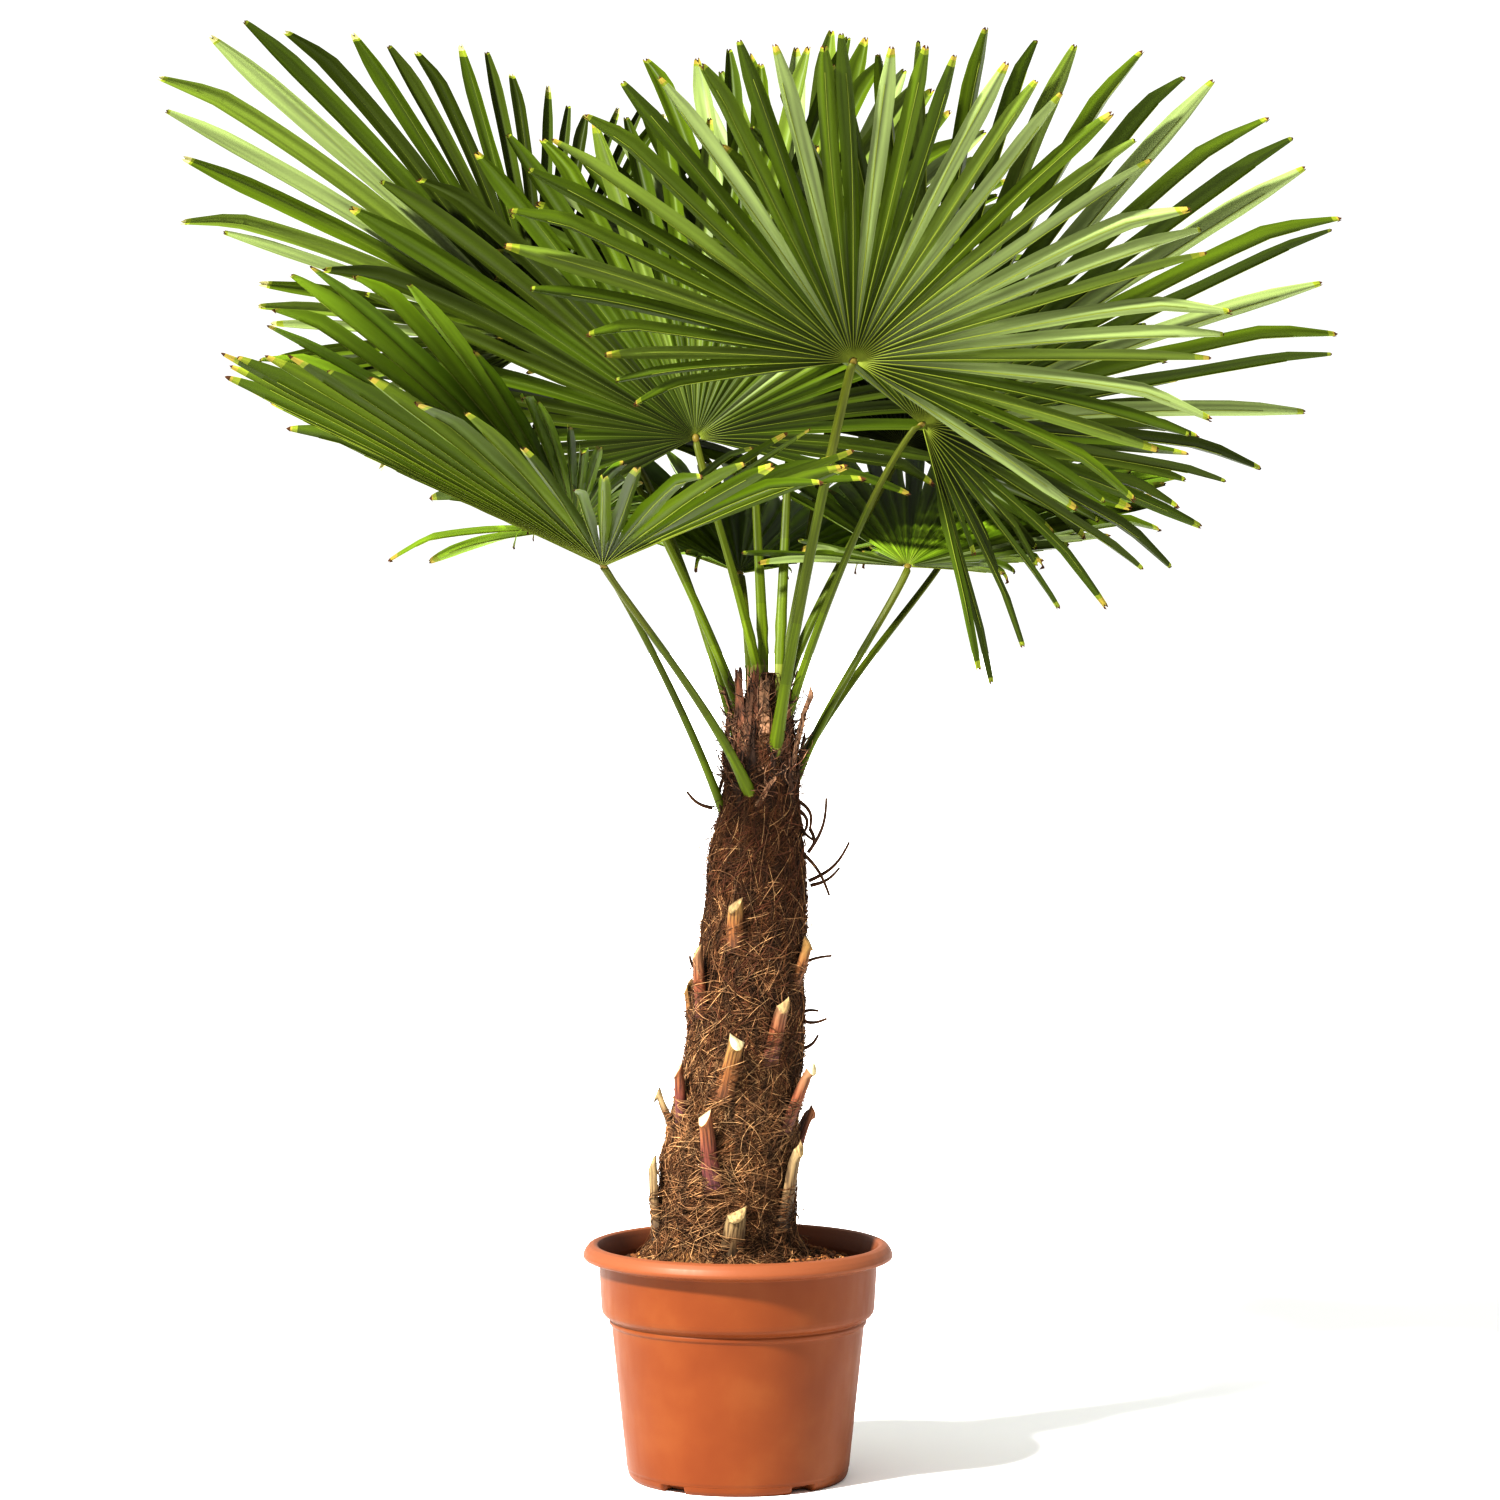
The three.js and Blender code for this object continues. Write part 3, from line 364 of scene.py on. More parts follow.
@dataclass(frozen=True)
class StudioFloor:
    """A matt painted studio floor, near white."""

    colour: str = "#fafaf9"

    def make(self) -> bpy.types.Material:
        """Builds the material with a barely visible unevenness."""
        material, tree, shader = start_material("studio_floor")
        place = add_node(tree, "ShaderNodeTexCoord").outputs["Object"]
        cloud = add_node(tree, "ShaderNodeTexNoise", {"Vector": place, "Scale": 3.0, "Detail": 3.0})
        colour = ramp(tree, cloud.outputs["Fac"], [(0.2, "#f7f7f5"), (0.8, self.colour)])
        tree.links.new(colour, shader.inputs["Base Color"])
        shader.inputs["Roughness"].default_value = 0.8
        return material


@dataclass
class JoinedMesh:
    """Gathers many small shapes into one mesh, with a material number for each face."""

    points: list[tuple[float, float, float]] = field(default_factory=list)
    faces: list[tuple[int, ...]] = field(default_factory=list)
    kinds: list[int] = field(default_factory=list)
    marks: list[tuple[float, float]] = field(default_factory=list)

    def point(self, place: Vector, across: float = 0.0, along: float = 0.0) -> int:
        """Adds a point in millimetres, with its place on the piece's own map, and returns its number."""
        self.points.append((place[0] * MM, place[1] * MM, place[2] * MM))
        self.marks.append((across, along))
        return len(self.points) - 1

    def face(self, corners: Sequence[int], kind: int) -> None:
        """Adds a face with its material number."""
        self.faces.append(tuple(corners))
        self.kinds.append(kind)

    def grid(self, rows: Sequence[Sequence[int]], kinds: Sequence[int], ring: bool = False) -> None:
        """Fills the faces between rows of point numbers.

        Args:
            rows: Rows with the same count of points.
            kinds: The material number for each gap between two rows.
            ring: True where each row closes on itself.
        """
        count = len(rows[0])
        for low, high, kind in zip(rows, rows[1:], kinds):
            for k in range(count if ring else count - 1):
                n = (k + 1) % count
                self.face((low[k], low[n], high[n], high[k]), kind)

    def tube(self, line: Sequence[Vector], radii: Sequence[float], kind: int, sides: int = 3) -> None:
        """Adds a closed thin tube along a line.

        Args:
            line: The middle line's points.
            radii: The radius at each point.
            kind: The material number.
            sides: How many sides the tube has.
        """
        rows = []
        hint = Vector((0.31, 0.52, 0.79))
        for k, (middle, radius) in enumerate(zip(line, radii)):
            along = line[min(k + 1, len(line) - 1)] - line[max(k - 1, 0)]
            side = along.cross(hint).normalized()
            other = side.cross(along).normalized()
            hint = other
            row = []
            for s in range(sides):
                angle = math.tau * s / sides
                row.append(self.point(middle + side * (radius * math.cos(angle)) + other * (radius * math.sin(angle))))
            rows.append(row)
        self.grid(rows, [kind] * (len(rows) - 1), ring=True)
        self.face(tuple(reversed(rows[0])), kind)
        self.face(tuple(rows[-1]), kind)

    def build(self, name: str, finishes: Sequence[Finish], smooth: bool = True) -> bpy.types.Object:
        """Makes the Blender object.

        Args:
            name: The object's name.
            finishes: The finishes in the order of the material numbers.
            smooth: True for smooth shading.

        Returns:
            The object, at the origin, in metres.
        """
        mesh = bpy.data.meshes.new(name)
        mesh.from_pydata(self.points, [], self.faces)
        for finish in finishes:
            mesh.materials.append(material_of(finish))
        mesh.polygons.foreach_set("material_index", self.kinds)
        mesh.polygons.foreach_set("use_smooth", [smooth] * len(self.faces))
        corners = np.empty(len(mesh.loops), dtype=np.int64)
        mesh.loops.foreach_get("vertex_index", corners)
        chart = mesh.uv_layers.new(name="own_map")
        chart.data.foreach_set("uv", np.array(self.marks, dtype=np.float32)[corners].ravel())
        mesh.update()
        obj = bpy.data.objects.new(name, mesh)
        bpy.context.scene.collection.objects.link(obj)
        return obj


MADE: dict[object, bpy.types.Material] = {}


def material_of(finish: object) -> bpy.types.Material:
    """Returns the finish's material, made once."""
    if finish not in MADE:
        MADE[finish] = finish.make()
    return MADE[finish]


def from_bmesh(bm: bmesh.types.BMesh, name: str, finish: object, smooth: bool = True) -> bpy.types.Object:
    """Turns a bmesh in metres to an object with one finish.

    Args:
        bm: The bmesh, freed afterwards.
        name: The object's name.
        finish: The finish of all its faces.
        smooth: True for smooth shading.

    Returns:
        The object, at the origin.
    """
    mesh = bpy.data.meshes.new(name)
    bm.to_mesh(mesh)
    bm.free()
    mesh.materials.append(material_of(finish))
    mesh.polygons.foreach_set("use_smooth", [smooth] * len(mesh.polygons))
    mesh.update()
    obj = bpy.data.objects.new(name, mesh)
    bpy.context.scene.collection.objects.link(obj)
    return obj


def settle(obj: bpy.types.Object, slot: str, *nodes: str) -> None:
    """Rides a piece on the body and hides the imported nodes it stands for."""
    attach(obj, BODY)
    if nodes:
        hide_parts(*nodes)
    LOG.info("%s: %d faces", obj.name, len(obj.data.polygons))


@dataclass
class Pot:
    """The moulded pot: rolled rim, upper band, double bead, tapering body and notched foot."""

    steps: int = 200
    foot_r: float = 121.0
    rim_r: float = 170.5
    rim_top: float = 257.0
    notch_count: int = 5
    notch_half: float = math.radians(6.1)
    notch_turn: float = -math.pi / 2 - math.pi / 5
    round_mm: float = 0.9

    def profile(self) -> list[tuple[float, float]]:
        """Returns the section's (radius, height) rows, from the underside's middle round to the floor's middle."""
        return [
            (0, 0), (101, 0), (103, 1.4), (112, 1.4), (114, 0), (117, 0), (120.2, 4), (121.6, 9), (121.2, 10.4),
            (122.4, 13), (124.1, 30), (129.6, 80), (138.4, 162), (139, 167.5), (141.4, 169.5), (141.8, 172.5),
            (140.6, 174.6), (142.6, 176.4), (147, 179), (149.4, 182.5), (150.2, 187), (151.4, 208), (153, 236), (156, 239),
            (166, 239.6), (self.rim_r - 0.6, 241.6), (self.rim_r, 244.6), (self.rim_r - 2.4, 250.4), (164, 255.2),
            (159, self.rim_top), (154.6, 255.6), (153, 251), (149, 236), (146, 189), (135.4, 172), (134.4, 160),
            (118.4, 13), (113, 6), (0, 6),
        ]

    def in_notch(self, angle: float) -> bool:
        """Returns True where a notch cuts the foot's edge."""
        step = math.tau / self.notch_count
        off = (angle - self.notch_turn) % step
        return min(off, step - off) < self.notch_half

    def build(self) -> None:
        """Turns the section, rounds its corners and cuts the notches."""
        bm = bmesh.new()
        verts = [bm.verts.new((r * MM, 0, z * MM)) for r, z in self.profile()]
        for a, b in zip(verts, verts[1:]):
            bm.edges.new((a, b))
        bmesh.ops.bevel(
            bm, geom=verts[1:-1], offset=self.round_mm * MM, offset_type="OFFSET", segments=3, profile=0.5,
            affect="VERTICES", material=-1,
        )
        bmesh.ops.spin(
            bm, geom=bm.verts[:] + bm.edges[:], cent=(0, 0, 0), axis=(0, 0, 1), dvec=(0, 0, 0), angle=math.tau,
            steps=self.steps, use_merge=True, use_duplicate=False,
        )
        bmesh.ops.remove_doubles(bm, verts=bm.verts[:], dist=1e-5)
        for vert in bm.verts:
            radius = math.hypot(vert.co.x, vert.co.y) / MM
            height = vert.co.z / MM
            if radius > 104 and height < 8.2 and self.in_notch(math.atan2(vert.co.y, vert.co.x)):
                inward = min(radius, 108 + 0.3 * height) / radius
                vert.co.x *= inward
                vert.co.y *= inward
                vert.co.z = max(vert.co.z, mix(0.2, 7.0, min(1.0, (radius - 104) / 12)) * MM)
        bmesh.ops.recalc_face_normals(bm, faces=bm.faces[:])
        settle(from_bmesh(bm, "pot_shell", MouldedPolypropylene()), "pot_plastic", "pot")


TRUNK_X = (
    (246, -16), (300, -12.5), (350, -10), (400, -3), (450, 4), (500, 9), (550, 13), (600, 17), (650, 20),
    (700, 22), (745, 25), (790, 27), (840, 29), (905, 31),
)
TRUNK_R = (
    (246, 76), (300, 73), (350, 72), (400, 67), (450, 63.5), (500, 60), (550, 57), (600, 55), (650, 52),
    (700, 48.5), (745, 43.5), (790, 39), (840, 33), (880, 28), (905, 25),
)


@dataclass
class Trunk:
    """The leaning trunk: a core with the felt's relief, strands laid over it and loose wisps."""

    foot: float = 246.0
    tip: float = 905.0
    sides: int = 20
    seat: float = 0.33
    round_steps: int = 150
    rows: int = 240
    strand_count: int = 9000
    tuft: int = 12
    frizz_count: int = 1500
    wisp_count: int = 80
    strand_steps: int = 7
    neck: tuple[tuple[float, float], ...] = ((690, 1.0), (745, 0.92), (790, 0.86), (835, 0.8), (884, 0.36))
    top: float = 884.0
    seed: int = 11

    STRANDS = (
        DryFibre("fibre_dark", "#3b2512", 0.85),
        DryFibre("fibre_brown", "#4f341d", 0.85),
        DryFibre("fibre_tan", "#72553a", 0.85),
        DryFibre("fibre_straw", "#937552", 0.8),
        DryFibre("fibre_russet", "#523220", 0.85),
    )
    LOOSE = (
        ((59, 556), (103, 573), 4), ((66, 507), (88, 513), 3), ((66, 503), (97, 505), -4), ((77, 686), (97, 746), -6),
        ((78, 655), (122, 698), -7), ((80, 650), (111, 670), -4), ((-28, 735), (-56, 753), 4), ((-40, 553), (-53, 573), 3),
        ((-42, 519), (-49, 535), 3), ((66, 743), (79, 712), 7), ((79, 712), (78, 688), 5), ((68, 725), (84, 700), -5),
        ((64, 735), (70, 704), 9), ((-12, 776), (-17, 728), -6), ((66, 690), (100, 640), 5), ((70, 470), (88, 486), -3),
    )

    def x_at(self, z: float) -> float:
        """Returns the middle line's x at a height."""
        return read(TRUNK_X, z)

    def r_at(self, z: float) -> float:
        """Returns the radius at a height."""
        return read(TRUNK_R, z)

    def off(self, points: np.ndarray) -> np.ndarray:
        """Returns how far points stand off the packed, faceted trunk."""
        x = points[:, 0] - np.interp(points[:, 2], *zip(*TRUNK_X))
        step = math.tau / self.sides
        turn = np.mod(np.arctan2(points[:, 1], x), step) - step / 2
        radius = np.interp(points[:, 2], *zip(*TRUNK_R))
        return np.hypot(x, points[:, 1]) - radius * math.cos(step / 2) / np.cos(turn)

    def seat_slide(self, points: np.ndarray, outward: Vector) -> float:
        """Returns the slide along a direction that seats a patch of points against the trunk."""
        slide = 0.0
        way = np.array(outward)
        for _ in range(8):
            slide += self.seat - float(self.off(points + way * slide).min())
        return slide

    def lumps(self, angle: float, z: float) -> float:
        """Returns the relief of the felt at a place on the trunk, in millimetres."""
        spot = Vector((math.cos(angle) * 1.6, math.sin(angle) * 1.6, z / 55))
        coarse = noise.noise(spot)
        swirl = Vector((math.cos(angle + z / 160) * 9, math.sin(angle + z / 160) * 9, z / 26))
        fine = noise.noise(swirl * 1.7)
        ridge = abs(noise.noise(Vector((swirl.x * 3.1, swirl.y * 3.1, z / 34 + 7))))
        return 3.2 * coarse + 1.3 * fine - 2.0 * ridge

    def felt_r(self, angle: float, z: float) -> float:
        """Returns the felt's radius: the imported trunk's, with its relief, a mound at the foot and a narrow neck."""
        mound = 15 * max(0.0, 1 - max(0.0, z - self.foot) / 34) ** 2
        return (self.r_at(z) + self.lumps(angle, z) + mound) * read(self.neck, z)

    def surface(self, angle: float, z: float, lift: float) -> Vector:
        """Returns a point over the felt's surface."""
        radius = self.felt_r(angle, z) + lift
        return Vector((self.x_at(z) + radius * math.cos(angle), radius * math.sin(angle), z))

    def build_core(self) -> None:
        """Wraps a grid round the trunk and gives it the felt's relief."""
        bm = bmesh.new()
        bmesh.ops.create_grid(bm, x_segments=self.round_steps, y_segments=self.rows, size=0.5)
        for vert in bm.verts:
            angle = (vert.co.x + 0.5) * math.tau
            if vert.co.x > 0.4999:
                angle = 0.0
            z = mix(self.foot - 8, self.top, vert.co.y + 0.5)
            vert.co = self.surface(angle, z, 0.0) * MM
        bmesh.ops.remove_doubles(bm, verts=bm.verts[:], dist=1e-6)
        rims = [edge for edge in bm.edges if edge.is_boundary]
        bmesh.ops.holes_fill(bm, edges=rims, sides=0)
        bmesh.ops.recalc_face_normals(bm, faces=bm.faces[:])
        settle(from_bmesh(bm, "trunk_core", MattedFibre()), "trunk_fibre", "trunk")

    def strand_kind(self, z: float, pick: float) -> int:
        """Deals out a strand's colour: straw and tan low down, dark and russet brown above."""
        up = min(1.0, max(0.0, (z - 400) / 300))
        shares = [mix(0.12, 0.30, up), mix(0.38, 0.28, up), mix(0.34, 0.09, up), mix(0.16, 0.03, up)]
        for kind, share in enumerate(shares):
            if pick < share:
                return kind
            pick -= share
        return 4

    def heading_at(self, rng: np.random.Generator, z: float) -> float:
        """Returns a tuft's direction: nearly level low down, crossing in the middle, rising above."""
        if z < 400:
            return rng.normal(0, 0.45) + rng.choice([0, math.pi])
        if z < 620:
            return rng.choice([-1, 1]) * rng.uniform(0.3, 1.3) + rng.choice([0, math.pi])
        return rng.normal(0.95, 0.4) + rng.choice([0, math.pi])

    def lay_strand(self, rng: np.random.Generator, joined: JoinedMesh, angle: float, z: float, heading: float) -> None:
        """Lays one strand over the felt from a place in a direction."""
        steps = self.strand_steps
        stride = rng.uniform(7, 17)
        bend = rng.normal(0, 0.2)
        arch = abs(rng.normal(0, 2.4)) + 0.4
        line = []
        for k in range(steps + 1):
            lift = 0.5 + arch * math.sin(math.pi * k / steps) ** 2
            line.append(self.surface(angle, z, lift))
            angle += stride * math.cos(heading) / self.r_at(z)
            z = min(self.top - 1, max(self.foot - 6, z + stride * math.sin(heading)))
            heading += bend
        radius = rng.uniform(0.3, 0.62)
        radii = [radius * (0.35 if k in (0, steps) else 1.0) for k in range(steps + 1)]
        joined.tube(line, radii, self.strand_kind(line[0].z, rng.random()))

    def build_strands(self) -> None:
        """Lays the strands in tufts that share a direction, in three pieces from the foot to the top."""
        rng = np.random.default_rng(self.seed)
        parts = {"felt_strands_low": JoinedMesh(), "felt_strands_middle": JoinedMesh(), "felt_strands_high": JoinedMesh()}
        low, middle, high = parts.values()
        for _ in range(self.strand_count // self.tuft):
            angle = rng.uniform(0, math.tau)
            z = mix(self.foot, self.top - 10, rng.random() ** 1.12)
            heading = self.heading_at(rng, z)
            target = low if z < 410 else middle if z < 600 else high
            for _ in range(self.tuft):
                place = angle + rng.normal(0, 16) / self.r_at(z)
                start = min(self.top - 2, max(self.foot, z + rng.normal(0, 15)))
                self.lay_strand(rng, target, place, start, heading + rng.normal(0, 0.38))
        for name, joined in parts.items():
            settle(joined.build(name, self.STRANDS), "trunk_fibre")

    def grow_frizz(self, rng: np.random.Generator, joined: JoinedMesh) -> None:
        """Adds one short hair that arches off the felt."""
        angle = rng.uniform(0, math.tau)
        z = rng.uniform(self.foot, 850)
        tall = 3 + rng.exponential(4.5)
        run = rng.uniform(10, 34)
        heading = rng.uniform(0, math.tau)
        free_end = rng.random() < 0.55
        line = []
        for k in range(7):
            t = k / 6
            rise = t**1.4 if free_end else math.sin(math.pi * t)
            at = angle + run * t * math.cos(heading) / self.r_at(z)
            line.append(self.surface(at, z + run * t * math.sin(heading), 0.2 + min(16.0, tall) * rise))
        joined.tube(line, [mix(0.55, 0.3, k / 6) for k in range(7)], self.strand_kind(z, rng.random()))

    def build_wisps(self) -> None:
        """Adds the hairs and loose fibres that stand off the trunk."""
        rng = np.random.default_rng(self.seed + 1)
        joined = JoinedMesh()
        for _ in range(self.frizz_count):
            self.grow_frizz(rng, joined)
        for _ in range(self.wisp_count):
            angle = rng.uniform(0, math.tau)
            z = rng.uniform(280, 860)
            reach = 8 + rng.exponential(9)
            rise = rng.uniform(-10, 34)
            swing = rng.normal(0, 10)
            out = Vector((math.cos(angle), math.sin(angle), 0))
            side = Vector((-math.sin(angle), math.cos(angle), 0))
            start = self.surface(angle, z, -0.5)
            line = [
                start + out * (min(30.0, reach) * t**0.9) + Z_AXIS * (rise * t**1.7) + side * (swing * math.sin(2.2 * t))
                for t in np.linspace(0, 1, 9)
            ]
            joined.tube(line, [mix(0.7, 0.35, k / 8) for k in range(9)], self.strand_kind(z, rng.random()))
        for number, (start, end, bow) in enumerate(self.LOOSE):
            one, two = Vector((start[0], -6, start[1])), Vector((end[0], -10 - number % 3 * 6, end[1]))
            over = Vector((one.z - two.z, 0, two.x - one.x)).normalized() * bow
            line = [one.lerp(two, t) + over * math.sin(math.pi * t) for t in np.linspace(0, 1, 10)]
            joined.tube(line, [mix(2.2, 1.3, k / 9) for k in range(10)], 0, sides=6)
        settle(joined.build("loose_wisps", self.STRANDS), "trunk_fibre")

    def build(self) -> None:
        """Builds the whole trunk."""
        self.build_core()
        self.build_strands()
        self.build_wisps()


class BaseTone(Enum):
    """The four ways that old leaf bases have weathered, by finish number."""

    TAN = 0
    RED = 1
    GREY = 2
    ORANGE = 3


@dataclass(frozen=True)
class Tongue:
    """A cut leaf base or a torn sheath, by the source's own sizes in degrees and millimetres."""

    node: str
    side: float
    foot_z: float
    tip_z: float
    foot_w: float
    tip_w: float
    thick: float
    out: float
    aside: float
    tone: BaseTone = BaseTone.TAN
    fresh_cut: bool = False


BASES = (
    Tongue("base_1", -106, 424, 490, 27, 17, 12, 15, 14, BaseTone.TAN, True),
    Tongue("base_2", -150, 398, 455, 20, 12, 9, 12, 2, BaseTone.RED, True),
    Tongue("base_3", -174, 388, 424, 16, 8, 8, 18, -6, BaseTone.GREY),
    Tongue("base_4", -101, 326, 408, 26, 14, 11, 13, -18, BaseTone.RED, True),
    Tongue("base_5", -168, 262, 352, 24, 15, 9, 8, 1, BaseTone.GREY),
    Tongue("base_6", -84, 249, 304, 30, 21, 13, 12, 2, BaseTone.GREY),
    Tongue("base_7", -36, 386, 458, 24, 12, 10, 13, 12, BaseTone.ORANGE, True),
    Tongue("base_8", -33, 282, 370, 26, 14, 9, 9, 3, BaseTone.GREY),
    Tongue("base_9", -62, 462, 528, 22, 15, 9, 10, 4, BaseTone.ORANGE),
    Tongue("base_10", -112, 588, 636, 22, 17, 10, 9, 3, BaseTone.TAN),
    Tongue("base_11", -146, 512, 584, 22, 13, 9, 9, -3, BaseTone.ORANGE),
    Tongue("base_12", -30, 544, 592, 20, 13, 9, 9, 4, BaseTone.TAN),
    Tongue("base_13", 24, 330, 402, 26, 14, 10, 13, -6, BaseTone.RED, True),
    Tongue("base_14", 76, 452, 520, 24, 13, 10, 12, 8, BaseTone.TAN, True),
    Tongue("base_15", 128, 318, 394, 27, 15, 11, 14, -8, BaseTone.GREY),
    Tongue("base_16", 150, 476, 540, 22, 12, 9, 11, 5, BaseTone.TAN),
)

@dataclass
class LeafBases:
    """The cut leaf bases: curved woody tongues with a slanted cut face, their feet under crossing fibres."""

    trunk: Trunk
    rows: int = 14
    front: int = 11
    sink: float = 4.0
    slant: float = 12.0
    cover: int = 34
    seed: int = 21

    WOOD = (
        WeatheredBase("old_base_tan", "#7d6136", "#7b512a", "#5f3d25"),
        WeatheredBase("old_base_red", "#7a4f30", "#68392c", "#573234"),
        WeatheredBase("old_base_grey", "#857352", "#735d40", "#514436"),
        WeatheredBase("old_base_orange", "#77593e", "#744226", "#58362d"),
        DryFibre("cut_face_fresh", "#b5a885", 0.75, 3.0, 0.1),
        DryFibre("cut_face_old", "#8a7654", 0.85, 3.0, 0.2),
    )

    def slide_of(self, tongue: Tongue) -> float:
        """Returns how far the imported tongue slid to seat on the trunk."""
        turn = math.radians(tongue.side)
        across = np.array((-math.sin(turn), math.cos(turn), 0))
        outward = Vector((math.cos(turn), math.sin(turn), 0))
        patch = []
        for t in np.linspace(0, 1, 97):
            z = mix(tongue.foot_z, tongue.tip_z, t)
            width = mix(tongue.foot_w, tongue.tip_w, t**0.7) / 2
            stand = self.trunk.r_at(tongue.foot_z) + tongue.out * t**1.4
            middle = np.array((self.trunk.x_at(z), 0, z)) + np.array(outward) * stand + across * tongue.aside * t
            patch.extend(middle + across * (width * s) for s in np.linspace(-1, 1, 25))
        return self.trunk.seat_slide(np.array(patch), outward)

    def deep_at(self, tongue: Tongue, t: float) -> float:
        """Returns the tongue's thickness at a share of its height."""
        return tongue.thick * mix(0.55, 1, min(1, 2 * t)) * (1 - 0.15 * t)

    def grow(self, joined: JoinedMesh, tongue: Tongue, slide: float, number: int) -> None:
        """Adds one tongue to the joined mesh."""
        turn = math.radians(tongue.side)
        across = Vector((-math.sin(turn), math.cos(turn), 0))
        outward = Vector((math.cos(turn), math.sin(turn), 0))
        corner = 5 if chance(number, 7, 1) < 0.5 else -5
        rows = []
        for k in range(self.rows + 1):
            t = k / self.rows
            z = mix(tongue.foot_z - 6, tongue.tip_z, t)
            width = mix(tongue.foot_w + 1, tongue.tip_w, t**0.7) / 2
            deep = self.deep_at(tongue, t)
            stand = self.trunk.r_at(tongue.foot_z) + tongue.out * t**1.4 + slide
            middle = Vector((self.trunk.x_at(z), 0, z)) + outward * stand + across * (tongue.aside * t)
            last = max(0.0, (t - 0.8) / 0.2)
            row = []
            for s in range(self.front):
                a = -1 + 2 * s / (self.front - 1)
                bulge = (1 - abs(a) ** 2.4) ** 0.6
                rough = 0.7 * noise.noise(Vector((a * 2.3 + number * 7, t * 9, number)))
                drop = (-self.slant * bulge + corner * a) * last
                place = middle + across * (width * a + 0.6 * rough) + outward * (deep * bulge + rough)
                row.append(joined.point(place + Z_AXIS * drop, width * a, t))
            for a in (0.6, 0.0, -0.6):
                back = -self.sink * (1 - t) + 2.4 * (1 - a * a) * t
                place = middle + across * (width * a) + outward * back + Z_AXIS * (corner * a * last)
                row.append(joined.point(place, width * a, t))
            rows.append(row)
        joined.grid(rows, [tongue.tone.value] * self.rows, ring=True)
        joined.face(tuple(reversed(rows[0])), tongue.tone.value)
        joined.face(tuple(rows[-1]), 4 if tongue.fresh_cut else 5)

    def cross(self, rng: np.random.Generator, joined: JoinedMesh, tongue: Tongue, slide: float) -> None:
        """Lays one strand of felt across the lower part of a tongue."""
        trunk = self.trunk
        side = math.radians(tongue.side)
        tall = tongue.tip_z - tongue.foot_z
        z = tongue.foot_z - 8 + tall * 0.62 * rng.random() ** 1.5
        lean = rng.normal(0, 0.5)
        run = rng.uniform(34, 70)
        line = []
        for s in np.linspace(-0.5, 0.5, 12):
            at = z + math.sin(lean) * run * s
            t = min(1.0, max(0.0, (at - tongue.foot_z) / tall))
            radius = trunk.r_at(at)
            half = mix(tongue.foot_w, tongue.tip_w, t**0.7) / 2
            beside = max(0.0, abs(run * s - tongue.aside * t) - half * 0.7)
            over = trunk.r_at(tongue.foot_z) + slide + tongue.out * t**1.4 + self.deep_at(tongue, t) + 0.9
            angle = side + run * s / radius
            felt = trunk.felt_r(angle, at) + 0.6
            reach = felt + max(0.0, over - felt) * math.exp(-((beside / 7) ** 2))
            line.append(Vector((trunk.x_at(at) + reach * math.cos(angle), reach * math.sin(angle), at)))
        radii = [rng.uniform(0.3, 0.6)] * 12
        joined.tube(line, radii, trunk.strand_kind(z, rng.random()))

    def build(self) -> None:
        """Builds all the cut bases as one piece, and the strands over their feet as another."""
        rng = np.random.default_rng(self.seed)
        joined, strands = JoinedMesh(), JoinedMesh()
        for number, tongue in enumerate(BASES):
            slide = self.slide_of(tongue)
            self.grow(joined, tongue, slide, number + 1)
            for _ in range(self.cover):
                self.cross(rng, strands, tongue, slide)
        settle(joined.build("cut_leaf_bases", self.WOOD), "leaf_base", *[tongue.node for tongue in BASES])
        settle(strands.build("crossing_strands", Trunk.STRANDS), "trunk_fibre")


@dataclass(frozen=True)
class Shred:
    """One torn strip of sheath: degrees round the trunk, heights, widths, leans and finish number."""

    side: float
    foot: float
    top: float
    wide: float
    tip: float
    out: float
    aside: float
    kind: int


SHREDS = (
    Shred(-143, 770, 897, 24, 11, 12, -3, 0), Shred(-128, 762, 872, 20, 8, 7, 4, 1), Shred(-116, 780, 898, 15, 8, 4, 1, 0),
    Shred(-88, 775, 888, 17, 10, 3, -1, 3), Shred(-22, 765, 873, 20, 4, 27, 6, 3), Shred(-96, 738, 774, 9, 3, 6, 18, 3),
    Shred(172, 795, 873, 14, 4, 20, 0, 3), Shred(-8, 752, 818, 16, 4, 14, -3, 1), Shred(-60, 764, 862, 20, 7, 4, 5, 1),
    Shred(-44, 770, 880, 16, 5, 8, 5, 0), Shred(-158, 744, 850, 20, 8, 6, 2, 1), Shred(-104, 742, 838, 18, 5, 5, -6, 2),
    Shred(-76, 736, 812, 16, 5, 5, 4, 2), Shred(-132, 726, 800, 18, 5, 7, 6, 2), Shred(-36, 728, 792, 15, 4, 8, -7, 1),
)


